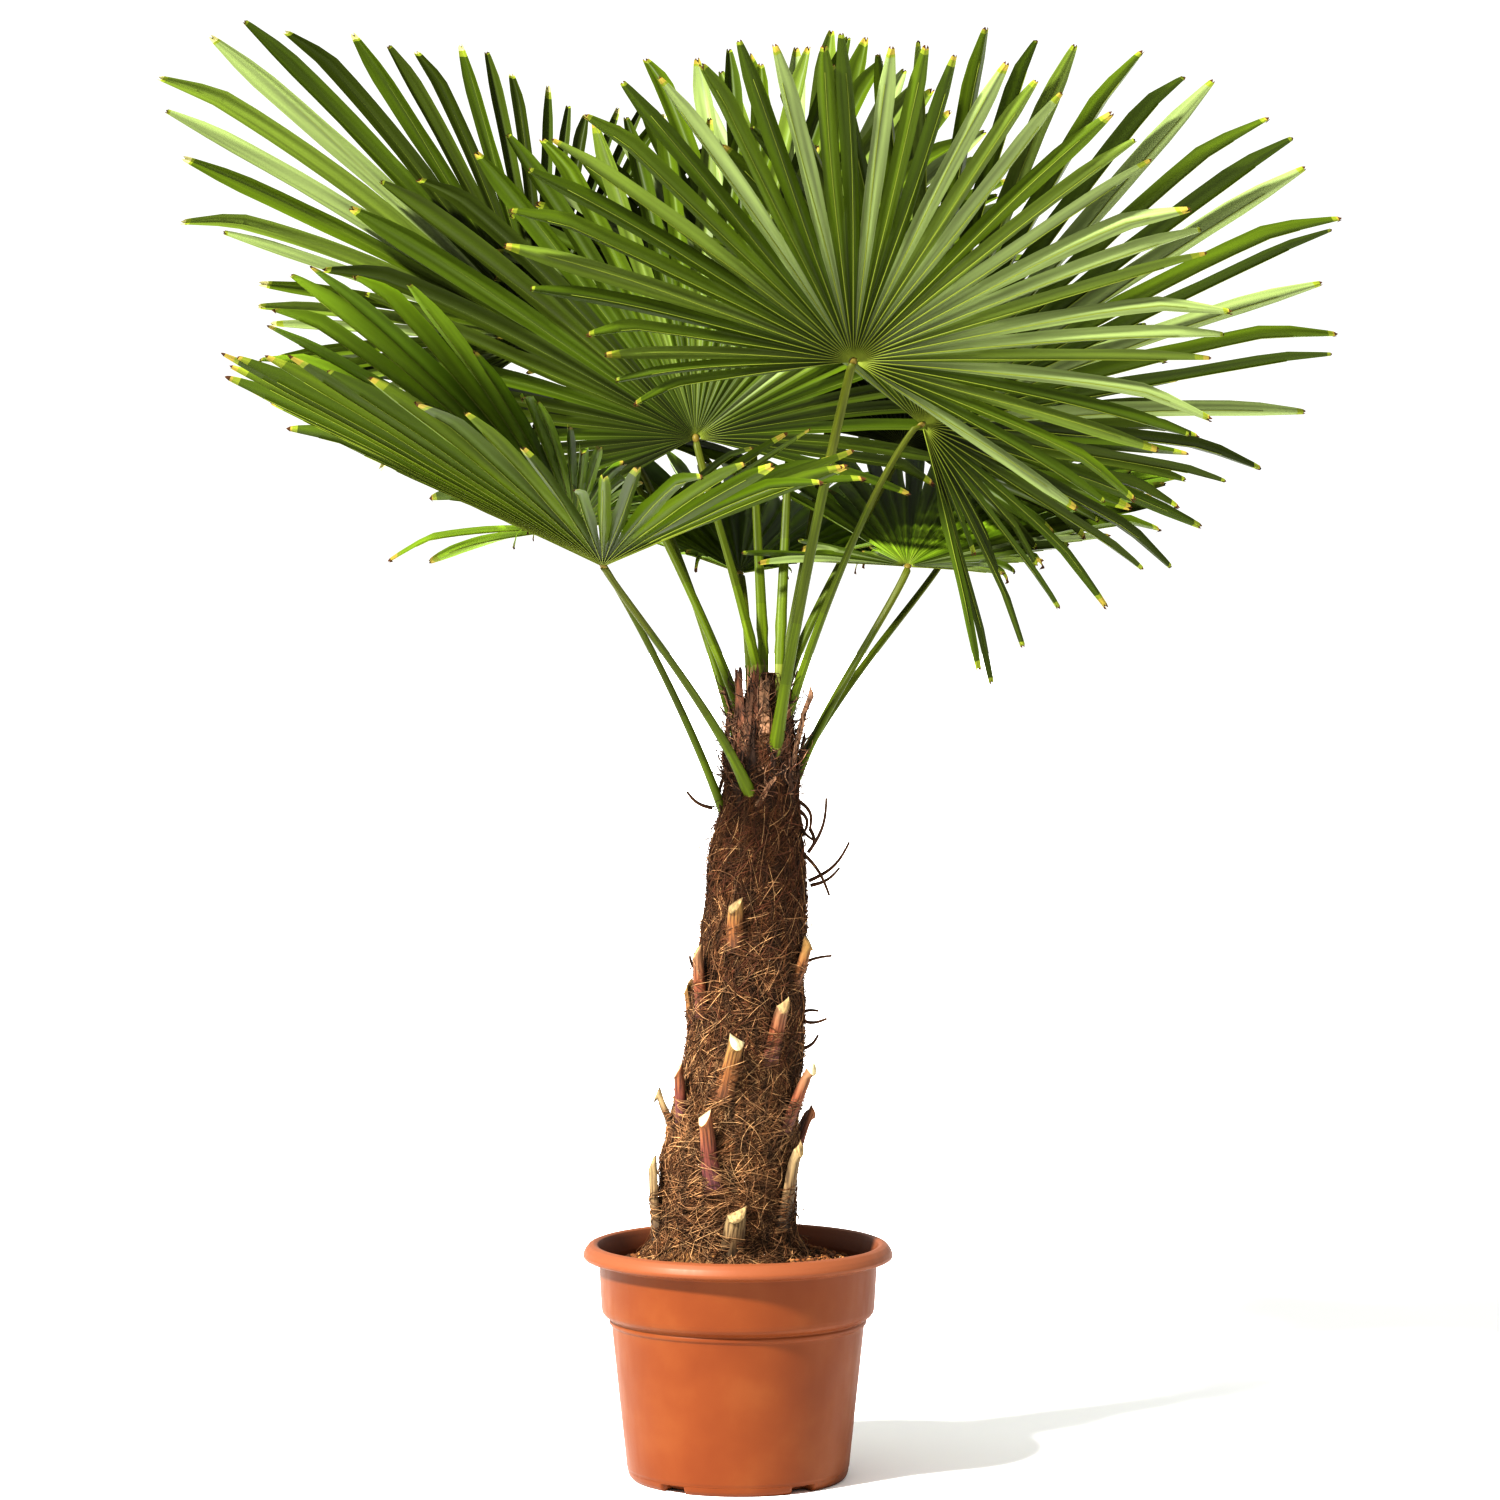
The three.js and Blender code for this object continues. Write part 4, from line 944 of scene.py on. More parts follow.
@dataclass
class TornSheaths:
    """The papery torn sheaths round the stalks' feet: thin curved strips with ragged tops."""

    trunk: Trunk
    rows: int = 14
    columns: int = 8
    extra: int = 22
    seed: int = 31

    PAPER = (
        DryFibre("sheath_red_brown", "#5b3d2c", 0.8, 5.0, 0.35),
        DryFibre("sheath_brown", "#493426", 0.85, 5.0, 0.35),
        DryFibre("sheath_dark", "#2f2118", 0.9, 5.0, 0.35),
        DryFibre("sheath_pale", "#7d614b", 0.8, 5.0, 0.35),
    )

    def place(self, shred: Shred, a: float, t: float, number: int, thick: float) -> Vector:
        """Returns a point of a strip at a share across (-1 to 1) and up it (0 to 1)."""
        trunk = self.trunk
        turn = math.radians(shred.side)
        across = Vector((-math.sin(turn), math.cos(turn), 0))
        outward = Vector((math.cos(turn), math.sin(turn), 0))
        tear = chance(number, round((a + 1) * 8), 4)
        z = mix(shred.foot, shred.top, t * mix(1.0, 0.8 + 0.2 * tear, t))
        half = mix(shred.wide, shred.tip, t**0.9) / 2
        hug = trunk.r_at(shred.foot) * (1 - math.cos(half * a / trunk.r_at(shred.foot)))
        wave = 2.2 * noise.noise(Vector((a * 1.6 + number * 3.1, t * 3, number))) + 0.8 * math.sin(5 * a + number)
        neck = max(0.78, read(trunk.neck, z))
        stand = mix(trunk.r_at(shred.foot), trunk.r_at(min(z, 900)), 0.9) * neck + 1.0 + shred.out * t**1.5
        slip = shred.aside * t + 3.5 * noise.noise(Vector((number, t * 2.4, 0.3))) * t
        return Vector((trunk.x_at(z), 0, z)) + outward * (stand - hug + wave * t + thick) + across * (half * a + slip)

    def strip(self, joined: JoinedMesh, shred: Shred, number: int) -> None:
        """Adds one strip with a thin body, wavy faces and a torn top."""
        skins = []
        for thick in (0.9, 0.0):
            rows = []
            for k in range(self.rows + 1):
                spots = [-1 + 2 * c / (self.columns - 1) for c in range(self.columns)]
                rows.append([joined.point(self.place(shred, a, k / self.rows, number, thick), a, k) for a in spots])
            skins.append(rows)
        front, back = skins
        joined.grid(front, [shred.kind] * self.rows)
        joined.grid([list(reversed(row)) for row in back], [shred.kind] * self.rows)
        rims = []
        for rows in (back, front):
            rims.append([row[-1] for row in rows] + rows[-1][-2::-1] + [row[0] for row in rows[-2::-1]])
        joined.grid(rims, [shred.kind])
        joined.grid([front[0], back[0]], [shred.kind])

    def fringe(self, rng: np.random.Generator, joined: JoinedMesh, shred: Shred, number: int) -> None:
        """Adds the loose threads that a torn edge leaves."""
        for _ in range(16):
            a, t = rng.choice([-1, 1]) * rng.uniform(0.6, 1.0), rng.uniform(0.3, 0.98)
            start = self.place(shred, a, t, number, 0.4)
            turn = math.radians(shred.side) + rng.normal(0, 0.5)
            way = Vector((math.cos(turn) * 0.6, math.sin(turn) * 0.6, rng.uniform(-0.3, 1.3)))
            bow = Vector((-math.sin(turn), math.cos(turn), 0)) * rng.normal(0, 7)
            reach = rng.uniform(8, 24)
            line = [start + way * (reach * s) + bow * math.sin(2.4 * s) for s in np.linspace(0, 1, 6)]
            joined.tube(line, [mix(0.8, 0.4, k / 5) for k in range(6)], int(rng.integers(0, 4)))

    def build(self) -> None:
        """Builds the strips seen in front and the smaller ones all round."""
        rng = np.random.default_rng(self.seed)
        shreds = list(SHREDS)
        for number in range(self.extra):
            side = 10 + number * 190 / self.extra + rng.uniform(-6, 6)
            foot = rng.uniform(715, 800)
            wide = rng.uniform(12, 22)
            top = min(892, foot + rng.uniform(60, 110))
            kind = int(rng.choice([0, 1, 1, 2, 2, 3]))
            shreds.append(Shred(side, foot, top, wide, wide * 0.4, rng.uniform(1, 14), rng.uniform(-7, 7), kind))
        joined = JoinedMesh()
        for number, shred in enumerate(shreds):
            self.strip(joined, shred, number)
            self.fringe(rng, joined, shred, number)
        settle(joined.build("torn_sheaths", self.PAPER), "sheath", "sheath_1", "sheath_2", "sheath_3")


@dataclass
class Soil:
    """The potting soil: a crumbly mound round the trunk's foot."""

    rim_z: float = 228.0
    rim_r: float = 148.2
    mound_z: float = 245.0
    mound_r: float = 96.0
    depth: float = 60.0
    crumbs: int = 1500
    seed: int = 5

    CRUMBS = (
        DryFibre("crumb_dark", "#3a2413", 0.95),
        DryFibre("crumb_brown", "#6a4426", 0.95),
        DryFibre("crumb_light", "#8f673e", 0.95),
        DryFibre("fleck_pale", "#d2c8b2", 0.9),
    )

    def top_at(self, radius: float) -> float:
        """Returns the mound's height at a radius."""
        if radius < self.mound_r:
            return self.mound_z
        return mix(self.rim_z, self.mound_z, (self.rim_r - radius) / (self.rim_r - self.mound_r))

    def build_bed(self) -> None:
        """Turns a radial line round the axis and roughens it."""
        bm = bmesh.new()
        radii = [0, 40, 70, 84, *range(92, 146, 3), self.rim_r]
        places = [(r, self.top_at(r)) for r in radii]
        places += [(self.rim_r - 1.2, self.rim_z - 20), (141, self.rim_z - 40), (138, self.rim_z - self.depth), (0, self.rim_z - self.depth)]
        verts = [bm.verts.new((r * MM, 0, z * MM)) for r, z in places]
        for a, b in zip(verts, verts[1:]):
            bm.edges.new((a, b))
        bmesh.ops.spin(
            bm, geom=bm.verts[:] + bm.edges[:], cent=(0, 0, 0), axis=(0, 0, 1), dvec=(0, 0, 0), angle=math.tau,
            steps=150, use_merge=True, use_duplicate=False,
        )
        bmesh.ops.remove_doubles(bm, verts=bm.verts[:], dist=1e-5)
        for vert in bm.verts:
            if vert.co.z > (self.rim_z - 2) * MM:
                rough = noise.fractal(vert.co * 90, 1.0, 2.1, 4)
                vert.co.z += (3.2 * rough - 1.5) * MM
        bmesh.ops.recalc_face_normals(bm, faces=bm.faces[:])
        settle(from_bmesh(bm, "soil_bed", PottingSoil()), "soil", "soil")

    def build_crumbs(self) -> None:
        """Strews crumbs and a few pale flecks over the bed."""
        rng = np.random.default_rng(self.seed)
        bm = bmesh.new()
        bmesh.ops.create_icosphere(bm, subdivisions=1, radius=1.0)
        shape = [vert.co.copy() for vert in bm.verts]
        faces = [tuple(vert.index for vert in face.verts) for face in bm.faces]
        bm.free()
        joined = JoinedMesh()
        for _ in range(self.crumbs):
            angle = rng.uniform(0, math.tau)
            radius = math.sqrt(rng.uniform(80**2, (self.rim_r - 3) ** 2))
            pale = rng.random() < 0.025
            scale = rng.uniform(1.2, 1.9) if pale else min(3.6, 1.1 + rng.exponential(1.1))
            middle = Vector((radius * math.cos(angle), radius * math.sin(angle), self.top_at(radius) - 0.8 + 0.4 * scale))
            kind = 3 if pale else int(rng.choice([0, 0, 1, 1, 2]))
            first = len(joined.points)
            for co in shape:
                joined.point(middle + Vector((co.x, co.y, co.z * 0.7)) * (scale * rng.uniform(0.75, 1.2)))
            for corners in faces:
                joined.face([first + c for c in corners], kind)
        settle(joined.build("soil_crumbs", self.CRUMBS), "soil")

    def build(self) -> None:
        """Builds the soil."""
        self.build_bed()
        self.build_crumbs()


class LeafTone(Enum):
    """The greens of a fan's leaflets, each dealt out leaflet by leaflet as finish numbers."""

    MID = (0, 0, 1, 2, 16)
    PALE = (16, 2, 16, 16, 2, 0)
    DEEP = (3, 4, 1)
    BRIGHT = (5, 6, 7)
    # Painted light: lighter greens for fans in the crown's shade, standing in for light shining through the leaves.
    PAINTED_FILL = (8, 14, 15)


LEAF_GREENS = (
    LeafSkin("leaf_mid", "#44520e"),
    LeafSkin("leaf_mid_shade", "#384509"),
    LeafSkin("leaf_mid_light", "#576426"),
    LeafSkin("leaf_deep", "#2b3408"),
    LeafSkin("leaf_deep_light", "#343e0b"),
    LeafSkin("leaf_bright", "#3d4b08"),
    LeafSkin("leaf_bright_light", "#4b590f"),
    LeafSkin("leaf_bright_shade", "#354107"),
    # The painted-light greens below, for fans in shade, have a weaker painted hub shade.
    LeafSkin("leaf_painted_fill", "#64791a", hub_shade_share=0.6),
    LeafSkin("leaf_rib", "#666e28", 0.5, hub_shade_share=1.0),
    LeafSkin("leaf_turning", "#6d7524", 0.5),
    LeafSkin("leaf_tip_yellow", "#877a36", 0.6),
    LeafSkin("leaf_tip_brown", "#4a3019", 0.7),
    LeafSkin("leaf_tip_straw", "#a19c6c", 0.6),
    LeafSkin("leaf_painted_fill_light", "#6f8524", hub_shade_share=0.6),
    LeafSkin("leaf_painted_fill_shade", "#546913", hub_shade_share=0.6),
    LeafSkin("leaf_pale", "#6f7a4c"),
)
RIB, TURNING, YELLOW, BROWN, STRAW = 9, 10, 11, 12, 13


@dataclass(frozen=True)
class FanPlan:
    """One fan as the source places it, in millimetres and degrees."""

    number: int
    hub: tuple[float, float, float]
    axis: tuple[float, float, float]
    up: tuple[float, float, float]
    lift: tuple[float, float]
    droop: float
    count: int
    foot: tuple[float, float]
    lengths: tuple[tuple[float, float], ...]
    tone: LeafTone = LeafTone.MID
    on_tip: bool = False
    stout: bool = False
    kinked: float = 0.25
    pale_tips: bool = False
    green_tips: float = 0.3
    cleft: tuple[float, float] = (1.0, 1.0)
    slender: tuple[float, float] = (1.0, 1.0)
    burnt: float = 1.0
    sectors: tuple[tuple[float, float, LeafTone], ...] = ()

    def tone_at(self, turn: float) -> LeafTone:
        """Returns the greens at a turn in degrees: a sector's own, or the whole fan's."""
        for first, last, tone in self.sectors:
            if first < turn < last:
                return tone
        return self.tone


def even_table(radius: float, spread: float = 118, loss: float = 0.38) -> tuple[tuple[float, float], ...]:
    """Returns a length table for a fan that is full all round: longest in the middle."""
    turns = [-spread + spread * k / 4 for k in range(9)]
    return tuple((turn, radius * (1 - loss * (turn / spread) ** 2)) for turn in turns)


FANS = (
    # Painted sheen: one side's leaflets get the pale greens where a sheen shows on them.
    FanPlan(
        1, (122, -190, 1217), (0.27, -0.45, 0.85), (0, 0.83, 0.55), (0, 0), 0.03, 38, (-67, 812),
        ((-115, 225), (-105, 262), (-93, 295), (-85, 411), (-65, 437), (-46, 416), (-20, 399), (4, 384), (33, 405),
         (62, 411), (75, 394), (83, 384), (102, 323), (112, 304)), LeafTone.MID, stout=True, cleft=(0.85, 0.85),
        slender=(0.95, 0.88), sectors=((12, 84, LeafTone.PALE),),
    ),
    # Painted shadow: the lower leaflets get the deep greens where the front fan's shadow falls.
    FanPlan(
        2, (200, -60, 1154), (0.89, 0.1, 0.45), (-0.39, 0.69, 0.61), (45, -75), 0.04, 38, (-22, 852),
        ((-122, 300), (-100, 420), (-71, 495), (-48, 515), (-29, 532), (-5, 541), (8, 512), (19, 515), (27, 458),
         (33, 416), (49, 352), (62, 315), (68, 180), (74.5, 278), (81, 170), (87, 262), (93.5, 150), (100, 150),
         (106, 268), (116, 262)), LeafTone.MID, kinked=0.8, green_tips=0.7, cleft=(0.8, 0.7), slender=(0.8, 0.7),
        sectors=((28, 180, LeafTone.DEEP),),
    ),
    FanPlan(
        5, (-142, -230, 1000), (-0.25, -0.87, 0.42), (0.36, 0.32, 0.88), (25, 91), 0.03, 34, (-112, 760),
        ((-125, 240), (-104, 430), (-79, 473), (-48, 463), (-30, 440), (-6, 400), (0, 330), (10, 270), (19, 297),
         (33, 363), (60, 340), (92, 290), (109, 279), (122, 230)), LeafTone.BRIGHT, green_tips=0.05, cleft=(0.8, 0.5),
        slender=(0.85, 0.74), burnt=1.5,
    ),
    # Painted sheen: one sector of leaflets gets the pale greens where a sheen shows on them.
    FanPlan(
        3, (-220, 175, 1259), (-0.8, 0, 0.6), (0.05, -0.97, 0.25), (0, 0), 0.04, 36, (152, 848),
        ((-112, 260), (-80, 340), (-60, 300), (-50, 345), (-41, 389), (-35, 401), (-26, 427), (-17, 508), (-8, 560),
         (-2, 566), (4, 524), (12, 466), (24, 346), (48, 290), (72, 220)), LeafTone.MID, pale_tips=True,
        sectors=((-180, -16, LeafTone.DEEP), (-6, 40, LeafTone.PALE)),
    ),
    # Painted shadow: this fan gets the deep greens for the front fan's shadow on it, and one sector keeps the middle
    # greens.
    FanPlan(
        4, (-47, 60, 1144), (-0.15, 0.3, 0.94), (0, -0.95, 0.3), (0, 0), 0.05, 38, (-14, -5),
        ((-114, 250), (-80, 330), (-40, 410), (-10, 430), (15, 450), (30, 480), (43, 526), (49, 505), (56, 430),
         (68, 330), (90, 260), (112, 200)), LeafTone.DEEP, on_tip=True, sectors=((-70, 20, LeafTone.MID),),
    ),
    # Painted light: this fan sits in shade and gets the lighter painted-light greens.
    FanPlan(
        8, (-177, -60, 1040), (-0.8, -0.2, 0.55), (0.3, 0.5, 0.8), (0, 0), 0.1, 30, (190, 742),
        ((-64, 150), (-58, 311), (-51, 175), (-44, 367), (-36, 200), (-22, 330), (-10, 410), (4, 441), (27, 520),
         (36, 490), (45, 330), (60, 235), (80, 205), (110, 170)), LeafTone.PAINTED_FILL, kinked=0.5,
    ),
    # Painted light: the middle of this shaded fan gets the lighter painted-light greens.
    FanPlan(
        6, (189, 60, 1001), (0.1, 0.85, 0.5), (0, -0.5, 0.85), (20, 20), 0.05, 36, (16, 772),
        ((-115, 180), (-101, 216), (-76, 289), (-52, 352), (0, 400), (40, 350), (65, 256), (90, 220), (112, 180)),
        LeafTone.MID, sectors=((-60, 60, LeafTone.PAINTED_FILL),),
    ),
    FanPlan(
        9, (8, 130, 1268), (-0.1, 0.34, 0.94), (0, -0.94, 0.34), (0, 0), 0.04, 36, (-3, 14),
        ((-118, 220), (-90, 290), (-60, 360), (-23, 425), (-10, 378), (7, 384), (13, 425), (23, 365), (50, 330),
         (85, 280), (118, 215)), LeafTone.MID, on_tip=True,
    ),
    FanPlan(
        13, (71, 190, 1305), (0.15, 0.45, 0.88), (0, -0.88, 0.47), (0, 0), 0.04, 34, (15, 4),
        ((-118, 200), (-79, 275), (-30, 340), (-12, 362), (2, 412), (12, 372), (30, 350), (70, 290), (118, 200)),
        LeafTone.PALE, on_tip=True,
    ),
    FanPlan(
        12, (-144, 200, 1157), (-0.78, 0.55, 0.32), (0.3, -0.15, 0.94), (0, 0), 0.08, 34, (130, 800),
        even_table(420), LeafTone.DEEP,
    ),
    # Painted light: this fan sits in shade and gets the lighter painted-light greens.
    FanPlan(
        10, (236, 286, 1005), (0.3, 0.85, 0.43), (-0.25, -0.37, 0.9), (34, 31), 0.08, 34, (52, 752),
        even_table(352), LeafTone.PAINTED_FILL,
    ),
    FanPlan(
        14, (188, 154, 1138), (0.37, 0.6, 0.7), (0.07, -0.87, 0.71), (14, 27), 0.05, 34, (40, 872),
        even_table(386), LeafTone.DEEP,
    ),
    # Painted light: this fan sits in shade and gets the lighter painted-light greens.
    FanPlan(
        7, (2, 190, 994), (-0.2, 0.87, 0.45), (0.15, -0.45, 0.88), (35, 40), 0.06, 34, (106, 806),
        even_table(400), LeafTone.PAINTED_FILL,
    ),
    # Painted light: this fan sits in shade and gets the lighter painted-light greens.
    FanPlan(
        11, (106, 279, 1171), (0.12, 0.44, 0.89), (0.15, -0.96, 0.46), (40, 32), 0.06, 34, (78, 776),
        even_table(378), LeafTone.PAINTED_FILL,
    ),
)

FOLD = 0.5
LEAFLET_MAP = 24.0
SPLIT = 0.45
SPLIT_SPREAD = 0.12
HUB_BACK = 9.0
SHORTEST = 34.0
TIP_HALF = 3.3
MIDDLE_WIDE = 1.2
TIP_END = 2.7
TAPER_FROM = 0.66
SAMPLE = 3.2
STAND_BACK = 8.0


@dataclass
class Fan:
    """One fan's own rule: where a point lies for a turn and a radius, and how far each leaflet reaches."""

    plan: FanPlan

    def __post_init__(self) -> None:
        """Works out the fan's directions and reads each leaflet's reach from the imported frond."""
        self.hub = Vector(self.plan.hub)
        self.axis = Vector(self.plan.axis).normalized()
        up = Vector(self.plan.up)
        self.up = (up - self.axis * up.dot(self.axis)).normalized()
        self.side = self.up.cross(self.axis)
        self.low = self.plan.lengths[0][0]
        self.high = self.plan.lengths[-1][0]
        self.half = math.radians(self.high - self.low) / self.plan.count / 2
        self.node = f"frond_{self.plan.number}"
        self.reach = self.read_reach()

    def turn_at(self, edge: float) -> float:
        """Returns the turn of an edge between leaflets, in radians."""
        return math.radians(mix(self.low, self.high, edge / self.plan.count))

    def spot(self, turn: float, radius: float, length: float) -> tuple[Vector, Vector, Vector]:
        """Returns the place, the upper side's direction and the direction across it."""
        lift = math.radians(self.plan.lift[0 if turn < 0 else 1]) * math.sin(abs(turn) / 2) ** 2
        flat = self.axis * math.cos(turn) + self.side * math.sin(turn)
        along = flat * math.cos(lift) + self.up * math.sin(lift)
        normal = self.up * math.cos(lift) - flat * math.sin(lift)
        across = self.axis * -math.sin(turn) + self.side * math.cos(turn)
        sag = self.plan.droop * length * (radius / length) ** 2.5
        return self.hub + along * radius - Z_AXIS * sag, normal, across

    def full_length(self, leaflet: int) -> float:
        """Returns a leaflet's length before it makes room for others."""
        leaflet = max(0, min(self.plan.count - 1, leaflet))
        turn = math.degrees(self.turn_at(leaflet + 0.5))
        return read(self.plan.lengths, turn) * (1 - 0.05 * chance(self.plan.number, leaflet, 1))

    def read_reach(self) -> list[float]:
        """Finds each leaflet's reach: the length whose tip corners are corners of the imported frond."""
        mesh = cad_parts[self.node].data
        tree = kdtree.KDTree(len(mesh.vertices))
        for k, vert in enumerate(mesh.vertices):
            tree.insert(vert.co, k)
        tree.balance()
        found = []
        for leaflet in range(self.plan.count):
            length = self.full_length(leaflet)
            turn = self.turn_at(leaflet + 0.5)
            trials = [length, SHORTEST]
            trials += [24 + SAMPLE * k - STAND_BACK for k in range(int((length - 24) / SAMPLE) + 1)]
            best = (math.inf, length)
            for trial in trials:
                place, _, across = self.spot(turn, trial, length)
                miss = sum(tree.find((place + across * (s * TIP_HALF)) * MM)[2] for s in (-1, 1))
                best = min(best, (miss, trial))
                if miss < 2e-5:
                    break
            found.append(best[1])
        return found

    def split_at(self, edge: int) -> float:
        """Returns the radius where the leaflets on both sides of an edge part."""
        left = self.reach[max(0, edge - 1)]
        right = self.reach[min(self.plan.count - 1, edge)]
        share = SPLIT + SPLIT_SPREAD * (chance(self.plan.number, edge, 2) - 0.5)
        return max(16.0, min(self.full_length(edge) * share, 0.72 * left, 0.72 * right))

    def cleft_at(self, edge: int) -> float:
        """Returns the radius where the finer leaflets part, which lies deeper in some fans."""
        side = self.plan.cleft[0 if self.turn_at(edge) < 0 else 1]
        return max(16.0, self.split_at(edge) * side * mix(0.88, 1.0, chance(self.plan.number, edge, 31)))


@dataclass
class FanBlades:
    """The finer leaflets of one fan: folded blades, joined in a pleated web near the hub."""

    fan: Fan
    web_rows: int = 7
    hub_r: float = 5.0
    free_steps: tuple[float, ...] = (0.1, 0.22, 0.36, 0.5, 0.64, 0.78, 0.9)
    columns: tuple[float, ...] = (-1.0, -0.5, 0.0, 0.5, 1.0)

    def key(self, leaflet: int, use: int) -> float:
        """Returns this fan's repeatable number for a leaflet and a use, in 0..1."""
        return chance(self.fan.plan.number + 20, leaflet, use)

    def web_point(self, leaflet: int, column: float, share: float, splits: Sequence[float]) -> Vector:
        """Returns a point of the pleated web."""
        fan = self.fan
        middle = (splits[leaflet] + splits[leaflet + 1]) / 2
        ends = []
        edge = leaflet if column < 0 else leaflet + 1
        radius = mix(self.hub_r, splits[edge], share)
        place, normal, _ = fan.spot(fan.turn_at(edge), radius, fan.full_length(edge))
        ends.append(place + normal * (FOLD * radius * math.sin(fan.half)))
        radius = mix(self.hub_r, middle, share)
        place, normal, _ = fan.spot(fan.turn_at(leaflet + 0.5), radius, fan.full_length(leaflet))
        ends.append(place - normal * (FOLD * radius * math.sin(fan.half)))
        bulge = 0.10 * radius * math.sin(fan.half) * (1 - (2 * abs(column) - 1) ** 2)
        return ends[0] * abs(column) + ends[1] * (1 - abs(column)) + normal * bulge

    def web_corner(self, joined: JoinedMesh, leaflet: int, column: float, share: float, splits: Sequence[float]) -> int:
        """Adds a point of the web, with its place on the piece's own map, and returns its number."""
        across = (leaflet + (1 + column) / 2) * LEAFLET_MAP
        return joined.point(self.web_point(leaflet, column, share, splits), across, share * splits[leaflet])

    def wide_at(self, leaflet: int, radius: float) -> float:
        """Returns half the blade's width at a radius past the split."""
        fan = self.fan
        full = (fan.split_at(leaflet) + fan.split_at(leaflet + 1)) / 2
        free = (radius - full) / (fan.reach[leaflet] - full)
        slim = fan.plan.slender[0 if fan.turn_at(leaflet + 0.5) < 0 else 1] * mix(0.84, 1.04, self.key(leaflet, 17))
        bound = math.sin(fan.half)
        widest = full * bound * MIDDLE_WIDE * slim
        if free < TAPER_FROM:
            start = min(radius, full) * bound
            return mix(start, widest, min(1.0, max(0.0, free) / 0.25))
        rest = (free - TAPER_FROM) / (1 - TAPER_FROM)
        return mix(widest, TIP_END, min(1.0, rest) ** 1.7)

    def bend(self, leaflet: int, free: float, tip_way: Vector) -> Vector:
        """Returns how far a leaflet strays from its straight line: a nodding tip, a sway and sometimes a kink."""
        nod = -Z_AXIS * (9 * self.key(leaflet, 3) * free**3)
        sway = tip_way * ((self.key(leaflet, 4) - 0.5) * 17 * free**2)
        kink = Vector((0, 0, 0))
        if self.key(leaflet, 5) < self.fan.plan.kinked:
            at = 0.62 + 0.25 * self.key(leaflet, 6)
            kink = -Z_AXIS * (max(0.0, free - at) * mix(20, 70, self.key(leaflet, 7)))
        return nod + sway + kink

    def free_rows(self, leaflet: int, splits: Sequence[float]) -> tuple[list[list[Vector]], list[int]]:
        """Returns the rows of points past the split and the material number before each row."""
        fan = self.fan
        length = fan.full_length(leaflet)
        far = fan.reach[leaflet]
        turn = fan.turn_at(leaflet + 0.5)
        sides = (splits[leaflet], splits[leaflet + 1])
        middle = sum(sides) / 2
        room = far - middle
        tip = min(1.0, room / 60)
        burnt = tip * fan.plan.burnt
        brown = burnt * mix(1.2, 4.6, self.key(leaflet, 8))
        yellow = burnt * mix(1.5, 9.0, self.key(leaflet, 13) ** 1.6)
        turning = burnt * mix(3.0, 9.0, self.key(leaflet, 14))
        marks = [middle + (room - 25 * tip) * s for s in self.free_steps]
        marks += [far - brown - yellow - turning, far - brown - yellow, far - brown, far]
        tones = fan.plan.tone_at(math.degrees(turn)).value
        green = tones[int(self.key(leaflet, 9) * len(tones)) % len(tones)]
        ends = [TURNING, STRAW, STRAW] if fan.plan.pale_tips else [TURNING, YELLOW, BROWN]
        if self.key(leaflet, 16) < fan.plan.green_tips:
            ends = [green, TURNING, BROWN]
        kinds = [green] * (len(self.free_steps) + 1) + ends
        twist = math.radians((self.key(leaflet, 10) - 0.5) * 60)
        stray = math.radians((self.key(leaflet, 15) - 0.5) * 4.4)
        fold = FOLD * mix(0.8, 1.3, self.key(leaflet, 11))
        rows = []
        for mark in marks:
            free = (mark - middle) / room
            row = []
            for column in self.columns:
                split = sides[0] if column < 0 else sides[1] if column > 0 else middle
                radius = split + (far - split) * free
                if mark == far:
                    radius -= {0.0: mix(4, 9, self.key(leaflet, 12)) * tip, 0.5: 0.0, 1.0: 2.5 * tip}[abs(column)]
                place, normal, across = fan.spot(turn + stray * free * (far - middle) / far, radius, length)
                wide = self.wide_at(leaflet, mark)
                turned = twist * min(1.0, free * 2.2)
                lateral = across * math.cos(turned) + normal * math.sin(turned)
                upward = normal * math.cos(turned) - across * math.sin(turned)
                rise = mix(FOLD, fold, min(1.0, free * 2)) * (2 * abs(column) - 1)
                rise += 0.08 * (1 - (2 * abs(column) - 1) ** 2)
                place = place + lateral * (wide * column) + upward * (wide * rise)
                row.append(place + self.bend(leaflet, free, across))
            rows.append(row)
        return rows, kinds

    def grow(self, joined: JoinedMesh) -> None:
        """Adds the whole fan to a joined mesh."""
        fan = self.fan
        splits = [fan.cleft_at(edge) for edge in range(fan.plan.count + 1)]
        shares = [(k / self.web_rows) for k in range(self.web_rows + 1)]
        left = [self.web_corner(joined, 0, -1.0, share, splits) for share in shares]
        for leaflet in range(fan.plan.count):
            web = [left]
            for column in self.columns[1:]:
                web.append([self.web_corner(joined, leaflet, column, share, splits) for share in shares])
            left = web[-1]
            rows = [[line[k] for line in web] for k in range(self.web_rows + 1)]
            free, kinds = self.free_rows(leaflet, splits)
            joined.grid(rows, [kinds[0]] * self.web_rows)
            blade = [rows[-1]]
            for step, row in enumerate(free):
                along = splits[leaflet] + 24 * (step + 1)
                flat = [(leaflet + (1 + column) / 2) * LEAFLET_MAP for column in self.columns]
                blade.append([joined.point(place, across, along) for place, across in zip(row, flat)])
            joined.grid(blade, kinds)
            self.grow_rib(joined, leaflet, splits, free)

